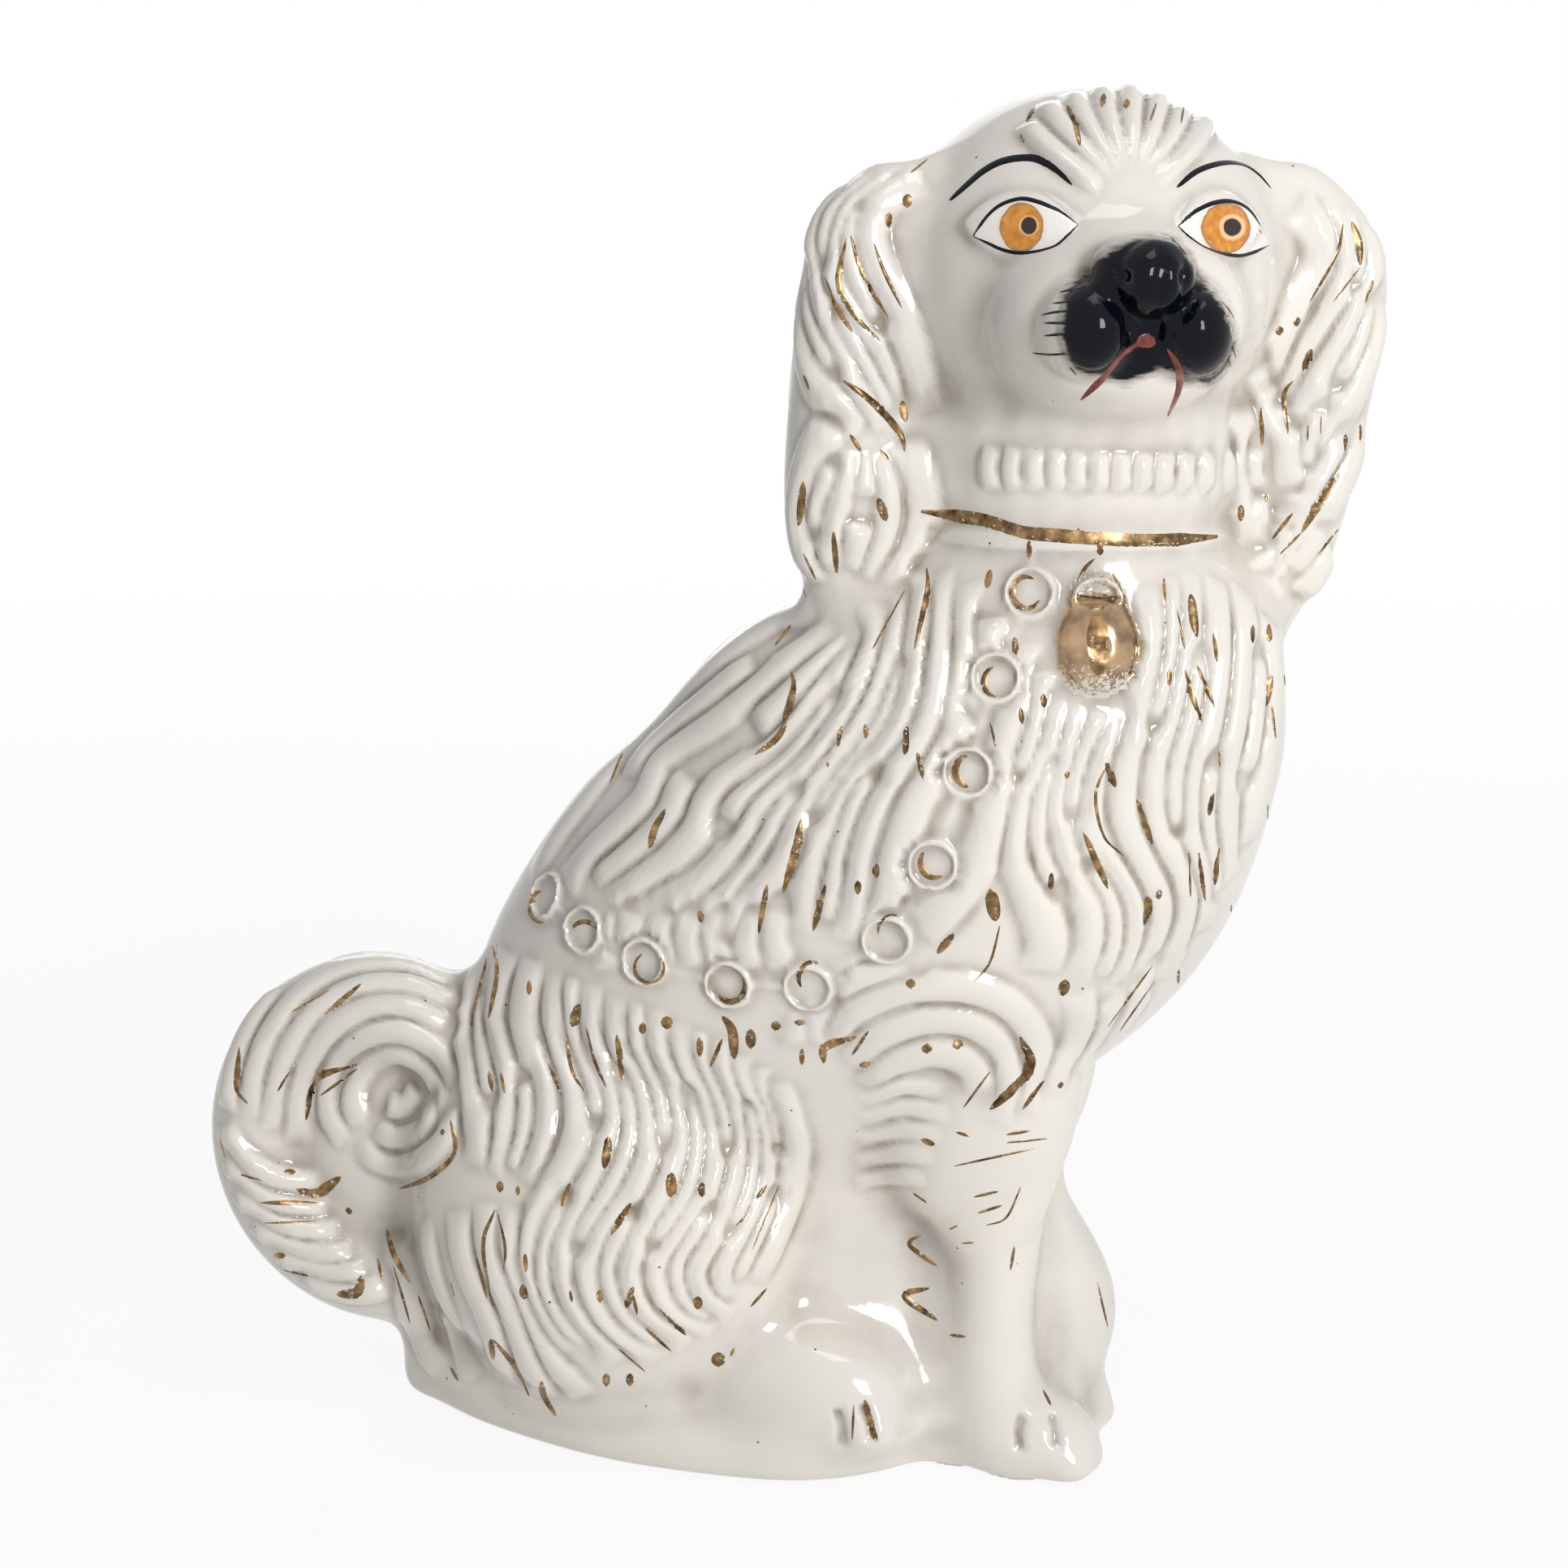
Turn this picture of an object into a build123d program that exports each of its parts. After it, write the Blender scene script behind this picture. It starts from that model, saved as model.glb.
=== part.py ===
"""Seated spaniel mantel figure in white-glazed earthenware.

+X runs along the dog from tail to chest, -Y faces the viewer and +Z is up. The origin lies under the
middle of the figure, on the surface that it stands on. Lengths are in millimetres. The figure is hollow:
two pressed shells make the trunk and two make the head. The ears, forelegs, paws, tail, ruff, collar,
chain and padlock are pressed or rolled separately and luted on with slip, and a tray closes the bottom.
"""

from build123d import *
from math import atan2, cos, degrees, pi, radians, sin, sqrt
import os

# Pressed shells
wall = 5.0
overrun = 400.0

# Base tray
base_length = 157.0
base_width = 74.0
base_height = 13.0
base_round = 3.0
base_back = 99.0
vent_radius = 6.0
vent_x = -30.0

# Trunk, from the tray up into the skull
trunk_height = 232.0
trunk_length = 164.0
trunk_width = 90.0

# Haunches
haunch_length = 98.0
haunch_depth = 70.0
haunch_height = 104.0
haunch_spread = 12.0
haunch_lean = 14.0

# Shoulders
shoulder_length = 50.0
shoulder_depth = 30.0
shoulder_height = 78.0
shoulder_spread = 17.0

# Forelegs and paws
leg_height = 98.0
leg_thickness = 24.0
leg_x = 47.0
leg_spread = 12.5
paw_length = 38.0
paw_width = 24.0
paw_height = 20.0
toe_radius = 6.0
toe_length_share = 1.3
toe_width_share = 0.20
paw_dome_share = 0.62

# Hind paws
hind_paw_length = 46.0
hind_paw_width = 22.0
hind_paw_height = 25.0
hind_paw_x = -16.0
hind_paw_spread = 27.0

# Tail
tail_coil = 34.0
tail_radius = 12.5
tail_flat_share = 1.15
tail_x = -98.5
tail_z = 66.0
tail_y = -4.0
tail_tip_radius = 23.0
tail_tip_width = 27.0

# Head, turned towards the viewer
head_width = 84.0
head_depth = 82.0
head_height = 80.0
head_turn = 18.0
head_x = 62.0
head_y = -2.0
head_z = 271.0
snout_width = 56.0
snout_depth = 54.0
snout_height = 43.0
snout_forward = 30.0
snout_drop = 8.0

# Muzzle: nose and two lips
nose_width = 22.0
nose_depth = 20.0
nose_height = 18.0
nose_forward = 54.0
nose_rise = 2.0
nostril_radius = 2.2
lip_width = 21.0
lip_depth = 22.0
lip_height = 21.0
lip_forward = 50.0
lip_spread = 9.5
lip_drop = 8.5

# Eyes
eye_width = 24.0
eye_height = 13.0
eye_bulge = 2.0
eye_seat = 3.0
eye_dome_share = 0.62
eye_spread = 21.5
eye_rise = 11.3

# Ears
ear_length = 97.0
ear_width = 32.0
ear_thickness = 28.0
ear_top_rise = 24.0

# Ruff of short curls under the chin
ruff_radius = 36.0
ruff_height = 21.0
ruff_curls = 26
ruff_curl_depth = 1.4
ruff_curl_height = 15.0

# Collar
collar_height = 3.4
collar_thickness = 1.4
collar_gap = 0.6

# Chain of flat rings and bars
link_radius = 5.8
link_band = 1.6
link_relief = 1.3
link_seat = 2.0
bar_width = 1.6
bar_relief = 1.0

# Padlock
padlock_width = 17.0
padlock_height = 21.0
padlock_relief = 4.5
keyhole_radius = 1.7
keyhole_slot = 4.5
shackle_radius = 5.2
shackle_band = 1.8

# Height, centre and half length along the trunk, and its half width, each as a share of the trunk's own
# height, length and width: the shell is a loft through these level ellipses.
TRUNK_SHARES = (
    (0.000, -0.140, 0.450, 0.300),
    (0.120, -0.165, 0.420, 0.290),
    (0.230, -0.165, 0.400, 0.300),
    (0.330, -0.065, 0.445, 0.380),
    (0.435, 0.037, 0.500, 0.470),
    (0.540, 0.116, 0.500, 0.500),
    (0.635, 0.189, 0.463, 0.490),
    (0.730, 0.256, 0.402, 0.450),
    (0.800, 0.310, 0.330, 0.405),
    (0.850, 0.350, 0.240, 0.375),
    (0.888, 0.360, 0.198, 0.360),
    (0.945, 0.368, 0.187, 0.340),
    (1.000, 0.375, 0.178, 0.322),
)
HAUNCH_PLACE_SHARES = (-0.256, 0.190)
SHOULDER_PLACE_SHARES = (0.260, 0.355)
collar_height_share = 0.872

# Half of the tray's outline, from the tail end to the paws: distance along it and half width.
BASE_SHARES = (
    (0.00, 0.00),
    (0.05, 0.26),
    (0.12, 0.46),
    (0.24, 0.72),
    (0.38, 0.92),
    (0.54, 1.00),
    (0.69, 0.95),
    (0.79, 0.72),
    (0.86, 0.42),
    (0.94, 0.30),
    (1.00, 0.00),
)

# Forelegs from the shoulder down: height, forward place and half length, the last two as shares of
# leg_thickness. The far leg swings forward below the elbow.
NEAR_LEG_SHARES = (
    (1.00, -0.10, 0.62),
    (0.80, -0.04, 0.54),
    (0.53, 0.02, 0.45),
    (0.33, 0.00, 0.42),
    (0.18, 0.04, 0.48),
    (0.08, 0.10, 0.50),
)
FAR_LEG_SHARES = (
    (1.00, -0.20, 0.62),
    (0.72, -0.12, 0.53),
    (0.54, 0.20, 0.52),
    (0.36, 0.52, 0.56),
    (0.20, 0.50, 0.55),
    (0.08, 0.40, 0.50),
)

# Toes: place across the paw and how far each stands back from the middle toe's tip, as shares of its width.
TOE_SHARES = ((-0.29, 0.10), (0.0, 0.0), (0.29, 0.10))

# Tail: angle round the coil in degrees, distance from its middle and tube radius, the last two as shares
# of tail_coil and tail_radius.
TAIL_SHARES = (
    (-50, 0.94, 0.90),
    (-85, 1.00, 1.00),
    (-125, 1.00, 1.02),
    (-165, 0.99, 1.00),
    (-205, 0.98, 1.00),
    (-245, 0.97, 1.02),
    (-285, 0.93, 1.00),
    (-325, 0.83, 0.92),
    (-365, 0.64, 0.78),
)

# Ears from the top down: height, distance from the head's middle, half width and half thickness, and how
# far forward the ear hangs, as shares of ear_length, head_width, ear_width, ear_thickness and head_depth.
LEFT_EAR_SHARES = (
    (0.000, -0.482, 0.200, 0.20, 0.05),
    (0.040, -0.518, 0.270, 0.30, 0.05),
    (0.095, -0.560, 0.320, 0.38, 0.04),
    (0.175, -0.580, 0.375, 0.44, 0.03),
    (0.330, -0.586, 0.420, 0.50, 0.01),
    (0.590, -0.605, 0.440, 0.50, 0.00),
    (0.765, -0.601, 0.465, 0.48, 0.00),
    (0.865, -0.613, 0.385, 0.40, 0.01),
    (0.940, -0.613, 0.235, 0.25, 0.02),
    (0.980, -0.607, 0.080, 0.10, 0.02),
)
RIGHT_EAR_SHARES = (
    (0.000, 0.482, 0.190, 0.20, 0.05),
    (0.040, 0.518, 0.280, 0.30, 0.05),
    (0.115, 0.583, 0.340, 0.38, 0.04),
    (0.227, 0.640, 0.370, 0.46, 0.02),
    (0.330, 0.645, 0.375, 0.50, 0.01),
    (0.600, 0.575, 0.455, 0.50, 0.00),
    (0.765, 0.554, 0.415, 0.48, 0.00),
    (0.885, 0.545, 0.330, 0.40, 0.01),
    (0.960, 0.568, 0.190, 0.22, 0.02),
    (1.000, 0.577, 0.080, 0.10, 0.02),
)

# Rings of the chain over the near flank, from the collar to the back, and place of the padlock: distance
# along the trunk and height over the tray, as shares of trunk_length and trunk_height.
CHAIN_SHARES = (
    (0.337, 0.834),
    (0.299, 0.759),
    (0.268, 0.674),
    (0.226, 0.588),
    (0.167, 0.515),
    (0.062, 0.464),
    (-0.047, 0.461),
    (-0.168, 0.474),
    (-0.262, 0.494),
    (-0.330, 0.516),
)
PADLOCK_SHARES = (0.425, 0.788)

trunk_foot = base_height


def ellipsoid(half_x, half_y, half_z):
    """A solid ellipsoid about the origin."""
    return scale(Sphere(1), by=(half_x, half_y, half_z))


def half_space(x=0, y=0, z=0):
    """A block that fills one side of the axis planes named by a sign, and runs far past them."""
    return Pos(x * overrun, y * overrun, z * overrun) * Box(2 * overrun, 2 * overrun, 2 * overrun)


def trunk_core(inset=0.0, ruled=False):
    """The trunk without its legs, drawn in by inset all round for the hollow."""
    sections = [
        Pos(centre * trunk_length, 0, trunk_foot + height * trunk_height)
        * Ellipse(half_length * trunk_length - inset, half_width * trunk_width - inset)
        for height, centre, half_length, half_width in TRUNK_SHARES
    ]
    return loft(sections, ruled=ruled)


def trunk_place(shares):
    """Distance along the trunk and height of a place given as shares of the trunk."""
    return shares[0] * trunk_length, trunk_foot + shares[1] * trunk_height


def near_haunch(inset=0.0):
    """The near haunch, an egg that leans back over the hind paw."""
    x, z = trunk_place(HAUNCH_PLACE_SHARES)
    egg = ellipsoid(haunch_length / 2 - inset, haunch_depth / 2 - inset, haunch_height / 2 - inset)
    return Pos(x, -haunch_spread, z) * Rot(0, -haunch_lean, 0) * egg


def near_shoulder():
    """The near shoulder, over the foreleg."""
    x, z = trunk_place(SHOULDER_PLACE_SHARES)
    egg = ellipsoid(shoulder_length / 2, shoulder_depth / 2, shoulder_height / 2)
    return Pos(x, -shoulder_spread, z) * egg


# Trunk: two half shells that meet along the middle plane
near_side = Pos(0, 0, trunk_foot) * half_space(y=-1, z=1)
core = trunk_core()
near_form = (core & near_side) + (near_haunch() & near_side) + (near_shoulder() & near_side)
far_form = mirror(near_form, about=Plane.XZ)
trunk_near = near_form - trunk_core(wall, ruled=True) - near_haunch(wall)
trunk_far = mirror(trunk_near, about=Plane.XZ)


def tray_outline(z, inset):
    """The tray's outline at one height, drawn in by inset."""
    points = [
        (along * (base_length - 2 * inset) - base_back + inset, half * (base_width / 2 - inset))
        for along, half in BASE_SHARES
    ]
    half_outline = Spline(points, tangents=((0, 1), (0, -1)))
    return Pos(0, 0, z) * make_face([half_outline, mirror(half_outline, about=Plane.XZ)])


def tray_block():
    """The tray before it is hollowed, with softened edges."""
    return loft(
        [
            tray_outline(0, base_round / 2),
            tray_outline(base_round, 0),
            tray_outline(base_height - base_round, 0),
            tray_outline(base_height, base_round / 2),
        ]
    )


def base_tray():
    """The flat tray under the dog, hollow below the trunk, with the vent that the kiln gas leaves by."""
    foot = TRUNK_SHARES[0]
    hollow = Ellipse(foot[2] * trunk_length - wall, foot[3] * trunk_width - wall)
    recess = extrude(Pos(foot[1] * trunk_length, 0, wall) * hollow, amount=base_height)
    vent = Pos(vent_x, 0, 0) * Cylinder(vent_radius, 2 * base_height)
    return tray_form - recess - vent


tray_form = tray_block()
base = base_tray()


def paw(x, y, z, length, width, height):
    """A paw with three toes, its heel at x and its sole flat at z."""
    pad = ellipsoid(length / 2, width / 2, height * paw_dome_share)
    shape = Pos(x + length / 2, y, z + height * (1 - paw_dome_share)) * pad
    for across, back in TOE_SHARES:
        toe = ellipsoid(toe_radius * toe_length_share, width * toe_width_share, toe_radius)
        tip = x + length - toe_radius - back * width
        shape += Pos(tip, y + across * width, z + toe_radius * paw_dome_share) * toe
    return shape & Pos(0, 0, z) * half_space(z=1)


def foreleg(side, shares, body):
    """A foreleg on its own side of the dog: a column from the shoulder to the ankle, and a paw."""
    y = side * leg_spread
    sections = [
        Pos(leg_x + forward * leg_thickness, y, height * leg_height)
        * Ellipse(half * leg_thickness, half * leg_thickness)
        for height, forward, half in shares
    ]
    leg = loft(sections) + paw(leg_x - leg_thickness / 2, y, 0, paw_length, paw_width, paw_height)
    return (leg & half_space(y=side)) - body - tray_form


foreleg_near = foreleg(-1, NEAR_LEG_SHARES, near_form)
foreleg_far = foreleg(1, FAR_LEG_SHARES, far_form)


# Hind paws: they stand on the tray and run up under the haunches
hind_paw_foot = base_height - base_round
hind_paw = paw(hind_paw_x, -hind_paw_spread, hind_paw_foot, hind_paw_length, hind_paw_width, hind_paw_height)
hind_paw_near = hind_paw - near_form - tray_form
hind_paw_far = mirror(hind_paw_near, about=Plane.XZ)


def tail_tube():
    """The tail, which curls over itself against the haunch."""
    sections = []
    for turn, distance, radius in TAIL_SHARES:
        out = Vector(cos(radians(turn)), 0, sin(radians(turn)))
        along = Vector(sin(radians(turn)), 0, -cos(radians(turn)))
        middle = Vector(tail_x, tail_y, tail_z) + out * (distance * tail_coil)
        tube = radius * tail_radius
        sections.append(Plane(origin=middle, x_dir=out, z_dir=along) * Ellipse(tube, tube * tail_flat_share))
    tip = ellipsoid(tail_tip_radius, tail_tip_width / 2, tail_tip_radius)
    return loft(sections) + Pos(tail_x, tail_y, tail_z) * tip


tail = tail_tube() - near_form - far_form - tray_form


# Head: a skull and a snout, pressed in a face half and a back half
head_place = Pos(head_x, head_y, head_z) * Rot(0, 0, head_turn)


def skull(inset=0.0):
    return ellipsoid(head_width / 2 - inset, head_depth / 2 - inset, head_height / 2 - inset)


def snout(inset=0.0):
    egg = ellipsoid(snout_width / 2 - inset, snout_depth / 2 - inset, snout_height / 2 - inset)
    return Pos(0, -snout_forward, -snout_drop) * egg


head_form = head_place * (skull() + snout())
head_hollow = head_place * (skull(wall) + snout(wall))
head_shell = head_form - head_hollow - core
head_face = head_shell & head_place * half_space(y=-1)
head_back = head_shell & head_place * half_space(y=1)


def muzzle_cap():
    """Nose and lips in one black cap over the snout."""
    cap = Pos(0, -nose_forward, nose_rise) * ellipsoid(nose_width / 2, nose_depth / 2, nose_height / 2)
    for side in (-1, 1):
        lip = ellipsoid(lip_width / 2, lip_depth / 2, lip_height / 2)
        cap += Pos(side * lip_spread, -lip_forward, -lip_drop) * lip
    for side in (-1, 1):
        front = nose_forward + nose_depth / 2 - nostril_radius / 2
        cap -= Pos(side * nose_width / 4, -front, nose_rise) * Sphere(nostril_radius)
    return head_place * cap - head_form


muzzle = muzzle_cap()


def eyeball(side):
    """An almond-shaped dome on the skull."""
    half_width, half_depth, half_height = head_width / 2, head_depth / 2, head_height / 2
    x, z = side * eye_spread, eye_rise
    y = -half_depth * sqrt(1 - (x / half_width) ** 2 - (z / half_height) ** 2)
    normal = Vector(x / half_width**2, y / half_depth**2, z / half_height**2)
    seat = Plane(origin=(x, y, z), x_dir=Vector(0, 0, 1).cross(normal), z_dir=normal)
    half, rise = eye_width / 2, eye_height / 2
    upper = ThreePointArc((-half, 0), (0, rise), (half, 0))
    lower = ThreePointArc((-half, 0), (0, -rise), (half, 0))
    almond = extrude(make_face([upper, lower]), amount=eye_width / 2, both=True)
    dome = ellipsoid(eye_width * eye_dome_share, eye_height * eye_dome_share, eye_bulge + eye_seat)
    lens = almond & Pos(0, 0, -eye_seat) * dome
    return head_place * seat.location * lens - head_form


eye_left = eyeball(-1)
eye_right = eyeball(1)


# Ruff and collar
collar_foot = trunk_foot + collar_height_share * trunk_height
ruff_foot = collar_foot + collar_height + collar_gap
neck_x = TRUNK_SHARES[-2][1] * trunk_length


def scalloped(radius):
    """A round outline of short curls side by side."""
    step = 2 * pi / ruff_curls
    valley = radius - ruff_curl_depth
    arcs = []
    for curl in range(ruff_curls):
        start, middle, end = (curl * step, (curl + 0.5) * step, (curl + 1) * step)
        arcs.append(
            ThreePointArc(
                (valley * cos(start), valley * sin(start)),
                (radius * cos(middle), radius * sin(middle)),
                (valley * cos(end), valley * sin(end)),
            )
        )
    return make_face(arcs)


ruff_place = Pos(neck_x, 0, ruff_foot)
ruff_band = Circle(ruff_radius - 2 * ruff_curl_depth)
ruff_inside = extrude(ruff_place * ruff_band, amount=ruff_height) - core
ruff_curls_foot = Pos(0, 0, ruff_height - ruff_curl_height) * ruff_place
ruff_curled = extrude(ruff_curls_foot * (scalloped(ruff_radius) - ruff_band), amount=ruff_curl_height)
neck_ruff = ruff_inside + ruff_curled - head_form


ruff_room = extrude(ruff_place * Circle(ruff_radius), amount=ruff_height)


def ear(shares):
    """An ear: a thick flap from the side of the skull down to the shoulder."""
    sections = [
        Pos(across * head_width, -forward * head_depth, ear_top_rise - height * ear_length)
        * Ellipse(half_width * ear_width, half_thickness * ear_thickness)
        for height, across, half_width, half_thickness, forward in shares
    ]
    return head_place * loft(sections) - head_form - near_form - far_form - ruff_room


ear_left = ear(LEFT_EAR_SHARES)
ear_right = ear(RIGHT_EAR_SHARES)

# Collar: a gilt band round the neck from ear to ear
collar_level = Pos(0, 0, collar_foot + collar_height / 2) * Box(2 * overrun, 2 * overrun, collar_height)
collar = (trunk_core(-collar_thickness) & collar_level) - core - ear_left - ear_right


def flank_seat(x, z):
    """The plane that touches the near side of the trunk, its own x level and its z pointing outward."""
    hits = near_form.solids()[0].shells()[0].find_intersection_points(Axis((x, -overrun, z), (0, 1, 0)))
    point, normal = min(hits, key=lambda hit: hit[0].Y)
    return Plane(origin=point, x_dir=Vector(0, 0, 1).cross(normal), z_dir=normal)


# Chain: flat rings with a short bar between each two, pressed on the flank
ring_places = [trunk_place(shares) for shares in CHAIN_SHARES]
ring_seats = [flank_seat(x, z).location for x, z in ring_places]
band_profile = Polygon(
    (link_radius - link_band, -link_seat),
    (link_radius, -link_seat),
    (link_radius - link_band / 4, link_relief),
    (link_radius - link_band * 3 / 4, link_relief),
    align=None,
)
ring = revolve(Plane.XZ * band_profile, Axis.Z)


def chain_links():
    rings = []
    for seat in ring_seats:
        rings += (seat * ring - near_form).solids()
    return Compound(children=rings)


def chain_bars():
    """A bar from the collar to the first ring, and one between each two rings."""
    ring_room = Cylinder(link_radius, 2 * (link_seat + link_relief))
    ring_rooms = [seat * ring_room for seat in ring_seats]
    top = (ring_places[0][0], collar_foot)
    bars = []
    for (x0, z0), (x1, z1) in zip([top] + ring_places, ring_places):
        seat = flank_seat((x0 + x1) / 2, (z0 + z1) / 2)
        lean = Rot(0, 0, degrees(atan2(z1 - z0, x1 - x0)))
        length = sqrt((x1 - x0) ** 2 + (z1 - z0) ** 2)
        bar = Pos(0, 0, (bar_relief - link_seat) / 2) * Box(length, bar_width, bar_relief + link_seat)
        bars += (seat.location * lean * bar - near_form - collar - ring_rooms).solids()
    return Compound(children=bars)


links = chain_links()
bars = chain_bars()


# Padlock: a rounded body with a keyhole, hung from a half ring
padlock_seat = flank_seat(*trunk_place(PADLOCK_SHARES)).location


def padlock_body():
    body = ellipsoid(padlock_width / 2, padlock_height / 2, padlock_relief)
    keyhole = Pos(0, 0, padlock_relief) * Cylinder(keyhole_radius, padlock_relief / 2)
    slot = Pos(0, -keyhole_slot / 2, padlock_relief) * Box(keyhole_radius, keyhole_slot, padlock_relief / 2)
    return padlock_seat * (body - keyhole - slot) - near_form


padlock = padlock_body()


def padlock_shackle():
    hoop = Torus(shackle_radius, shackle_band / 2) & half_space(y=1)
    hoop_place = padlock_seat * Pos(0, padlock_height / 2 - shackle_band, shackle_band / 2)
    return hoop_place * hoop - near_form - padlock


shackle = padlock_shackle()

pieces = {
    "trunk_near": trunk_near,
    "trunk_far": trunk_far,
    "base_tray": base,
    "foreleg_near": foreleg_near,
    "foreleg_far": foreleg_far,
    "hind_paw_near": hind_paw_near,
    "hind_paw_far": hind_paw_far,
    "tail": tail,
    "head_face": head_face,
    "head_back": head_back,
    "muzzle": muzzle,
    "eye_left": eye_left,
    "eye_right": eye_right,
    "ear_left": ear_left,
    "ear_right": ear_right,
    "neck_ruff": neck_ruff,
    "collar": collar,
    "chain_links": links,
    "chain_bars": bars,
    "padlock_body": padlock,
    "padlock_shackle": shackle,
}

# Origin under the middle of the whole figure
extent = Compound(children=[Compound(piece.solids()) for piece in pieces.values()]).bounding_box()
to_origin = Pos(-extent.center().X, -extent.center().Y, -extent.min.Z)
print("moved by", to_origin.position, "size", extent.size)

os.makedirs("parts", exist_ok=True)
for name, piece in pieces.items():
    export_step(to_origin * piece, f"parts/{name}.step")
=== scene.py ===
import math

import bpy
import numpy as np
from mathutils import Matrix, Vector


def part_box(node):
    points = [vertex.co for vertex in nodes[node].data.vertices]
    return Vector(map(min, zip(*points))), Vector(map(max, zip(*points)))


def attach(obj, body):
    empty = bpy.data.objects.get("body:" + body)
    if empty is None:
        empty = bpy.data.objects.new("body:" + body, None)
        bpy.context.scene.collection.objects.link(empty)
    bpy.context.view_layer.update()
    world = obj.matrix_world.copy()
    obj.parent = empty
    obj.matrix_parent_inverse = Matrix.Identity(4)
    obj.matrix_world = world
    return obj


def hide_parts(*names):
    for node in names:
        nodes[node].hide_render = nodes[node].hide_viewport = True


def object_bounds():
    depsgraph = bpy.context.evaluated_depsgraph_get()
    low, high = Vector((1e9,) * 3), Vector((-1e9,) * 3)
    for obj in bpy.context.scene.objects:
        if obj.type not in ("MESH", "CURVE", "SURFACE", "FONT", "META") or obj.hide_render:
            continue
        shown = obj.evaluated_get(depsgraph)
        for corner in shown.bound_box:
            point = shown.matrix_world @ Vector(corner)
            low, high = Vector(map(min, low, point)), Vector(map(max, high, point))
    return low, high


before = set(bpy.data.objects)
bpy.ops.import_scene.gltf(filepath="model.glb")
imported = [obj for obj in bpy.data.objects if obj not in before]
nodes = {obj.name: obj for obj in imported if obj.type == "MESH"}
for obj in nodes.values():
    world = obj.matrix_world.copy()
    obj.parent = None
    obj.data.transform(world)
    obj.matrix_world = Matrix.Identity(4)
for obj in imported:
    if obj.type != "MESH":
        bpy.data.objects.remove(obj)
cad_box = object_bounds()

import openvdb
from mathutils import Vector
from mathutils.bvhtree import BVHTree
from mathutils.kdtree import KDTree

# A seated spaniel for a mantelpiece, press-moulded in earthenware and luted together from shells, ears,
# legs, paws, tail, ruff and chain, then fired under one white lead glaze, enamelled and gilded.
# Lengths are in millimetres while a shape is worked out, and in metres in its mesh.
mm = 0.001


# Camera
# It stands where the photograph was taken from, 650 mm from the dog's middle and about level with its crown.
# Places read from the photograph, in its pixels, are carried onto the figure along this camera's rays.
photo_width = 1932
sensor_width = 36.0
focal_pixels = 3640
camera_azimuth = math.radians(12.0)
camera_elevation = math.radians(12.5)
camera_distance = 650.0
camera_target = Vector((9.2, -11.8, 160.0))

camera_back = Vector((
    math.sin(camera_azimuth) * math.cos(camera_elevation),
    -math.cos(camera_azimuth) * math.cos(camera_elevation),
    math.sin(camera_elevation),
))
camera_place = camera_target + camera_back * camera_distance
camera_right = camera_back.cross(Vector((0, 0, 1))).normalized() * -1
camera_up = camera_back.cross(camera_right)

camera = bpy.data.objects.new("camera", bpy.data.cameras.new("camera"))
bpy.context.scene.collection.objects.link(camera)
camera.data.sensor_width = sensor_width
camera.data.lens = focal_pixels * sensor_width / photo_width
camera.location = camera_place * mm
camera.rotation_euler = (-camera_back).to_track_quat("-Z", "Y").to_euler()
bpy.context.scene.camera = camera


def pixel_ray(x, y):
    """The direction in which the camera sees a pixel of the photograph."""
    across = (x - photo_width / 2) / focal_pixels
    down = (y - photo_width / 2) / focal_pixels
    return (-camera_back + camera_right * across - camera_up * down).normalized()


def pixels_of(points):
    """Where the camera sees points: their pixels in the photograph."""
    away = points - np.array(camera_place)
    depth = away @ -np.array(camera_back)
    x = photo_width / 2 + focal_pixels * (away @ np.array(camera_right)) / depth
    y = photo_width / 2 - focal_pixels * (away @ np.array(camera_up)) / depth
    return np.stack([x, y], axis=1)


# Floor, lamps and world
# A white sweep in a small studio. A tall window lamp stands at the right, a broad soft one overhead and a
# broad one behind, and the white room fills the rest.
lamps_face = Vector((0.0, 0.0, 0.16))
# name, place and two sides in metres, watts
LAMPS = (
    ("window_lamp", (0.80, -0.95, 0.50), (0.30, 0.42), 10.0),
    ("overhead_lamp", (0.25, -0.25, 1.30), (0.50, 0.50), 2.8),
    ("back_lamp", (-0.15, 1.30, 0.65), (1.30, 1.00), 4.5),
)
floor_radius = 4.0
floor_corners = 64
floor_colour = "#F4F4F3"
# Where it is seen, the floor runs into white: by these shares, at these distances from the dog in metres.
floor_glow = (0.90, 1.0)
floor_fade = (0.25, 1.4)
room_light = 0.25


def linear(colour):
    """An sRGB hex colour as linear RGBA."""
    parts = [int(colour[i : i + 2], 16) / 255 for i in (1, 3, 5)]
    return tuple(c / 12.92 if c <= 0.04045 else ((c + 0.055) / 1.055) ** 2.4 for c in parts) + (1.0,)


def node(tree, kind, *values, **details):
    """Adds a node with its settings, which have small names, and its inputs, which are bare values in their
    order or have a capital. An input takes a value, or a link from a socket or from a node's first output."""
    made = tree.nodes.new("ShaderNode" + kind)
    for name, value in details.items():
        if name[0].islower():
            setattr(made, name, value)
    inputs = list(zip((socket for socket in made.inputs if socket.enabled), values))
    inputs += [(made.inputs[name.replace("_", " ")], details[name]) for name in details if name[0].isupper()]
    for socket, value in inputs:
        if isinstance(value, bpy.types.Node):
            value = next(output for output in value.outputs if output.enabled)
        if isinstance(value, bpy.types.NodeSocket):
            tree.links.new(value, socket)
        else:
            socket.default_value = value
    return made


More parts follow.
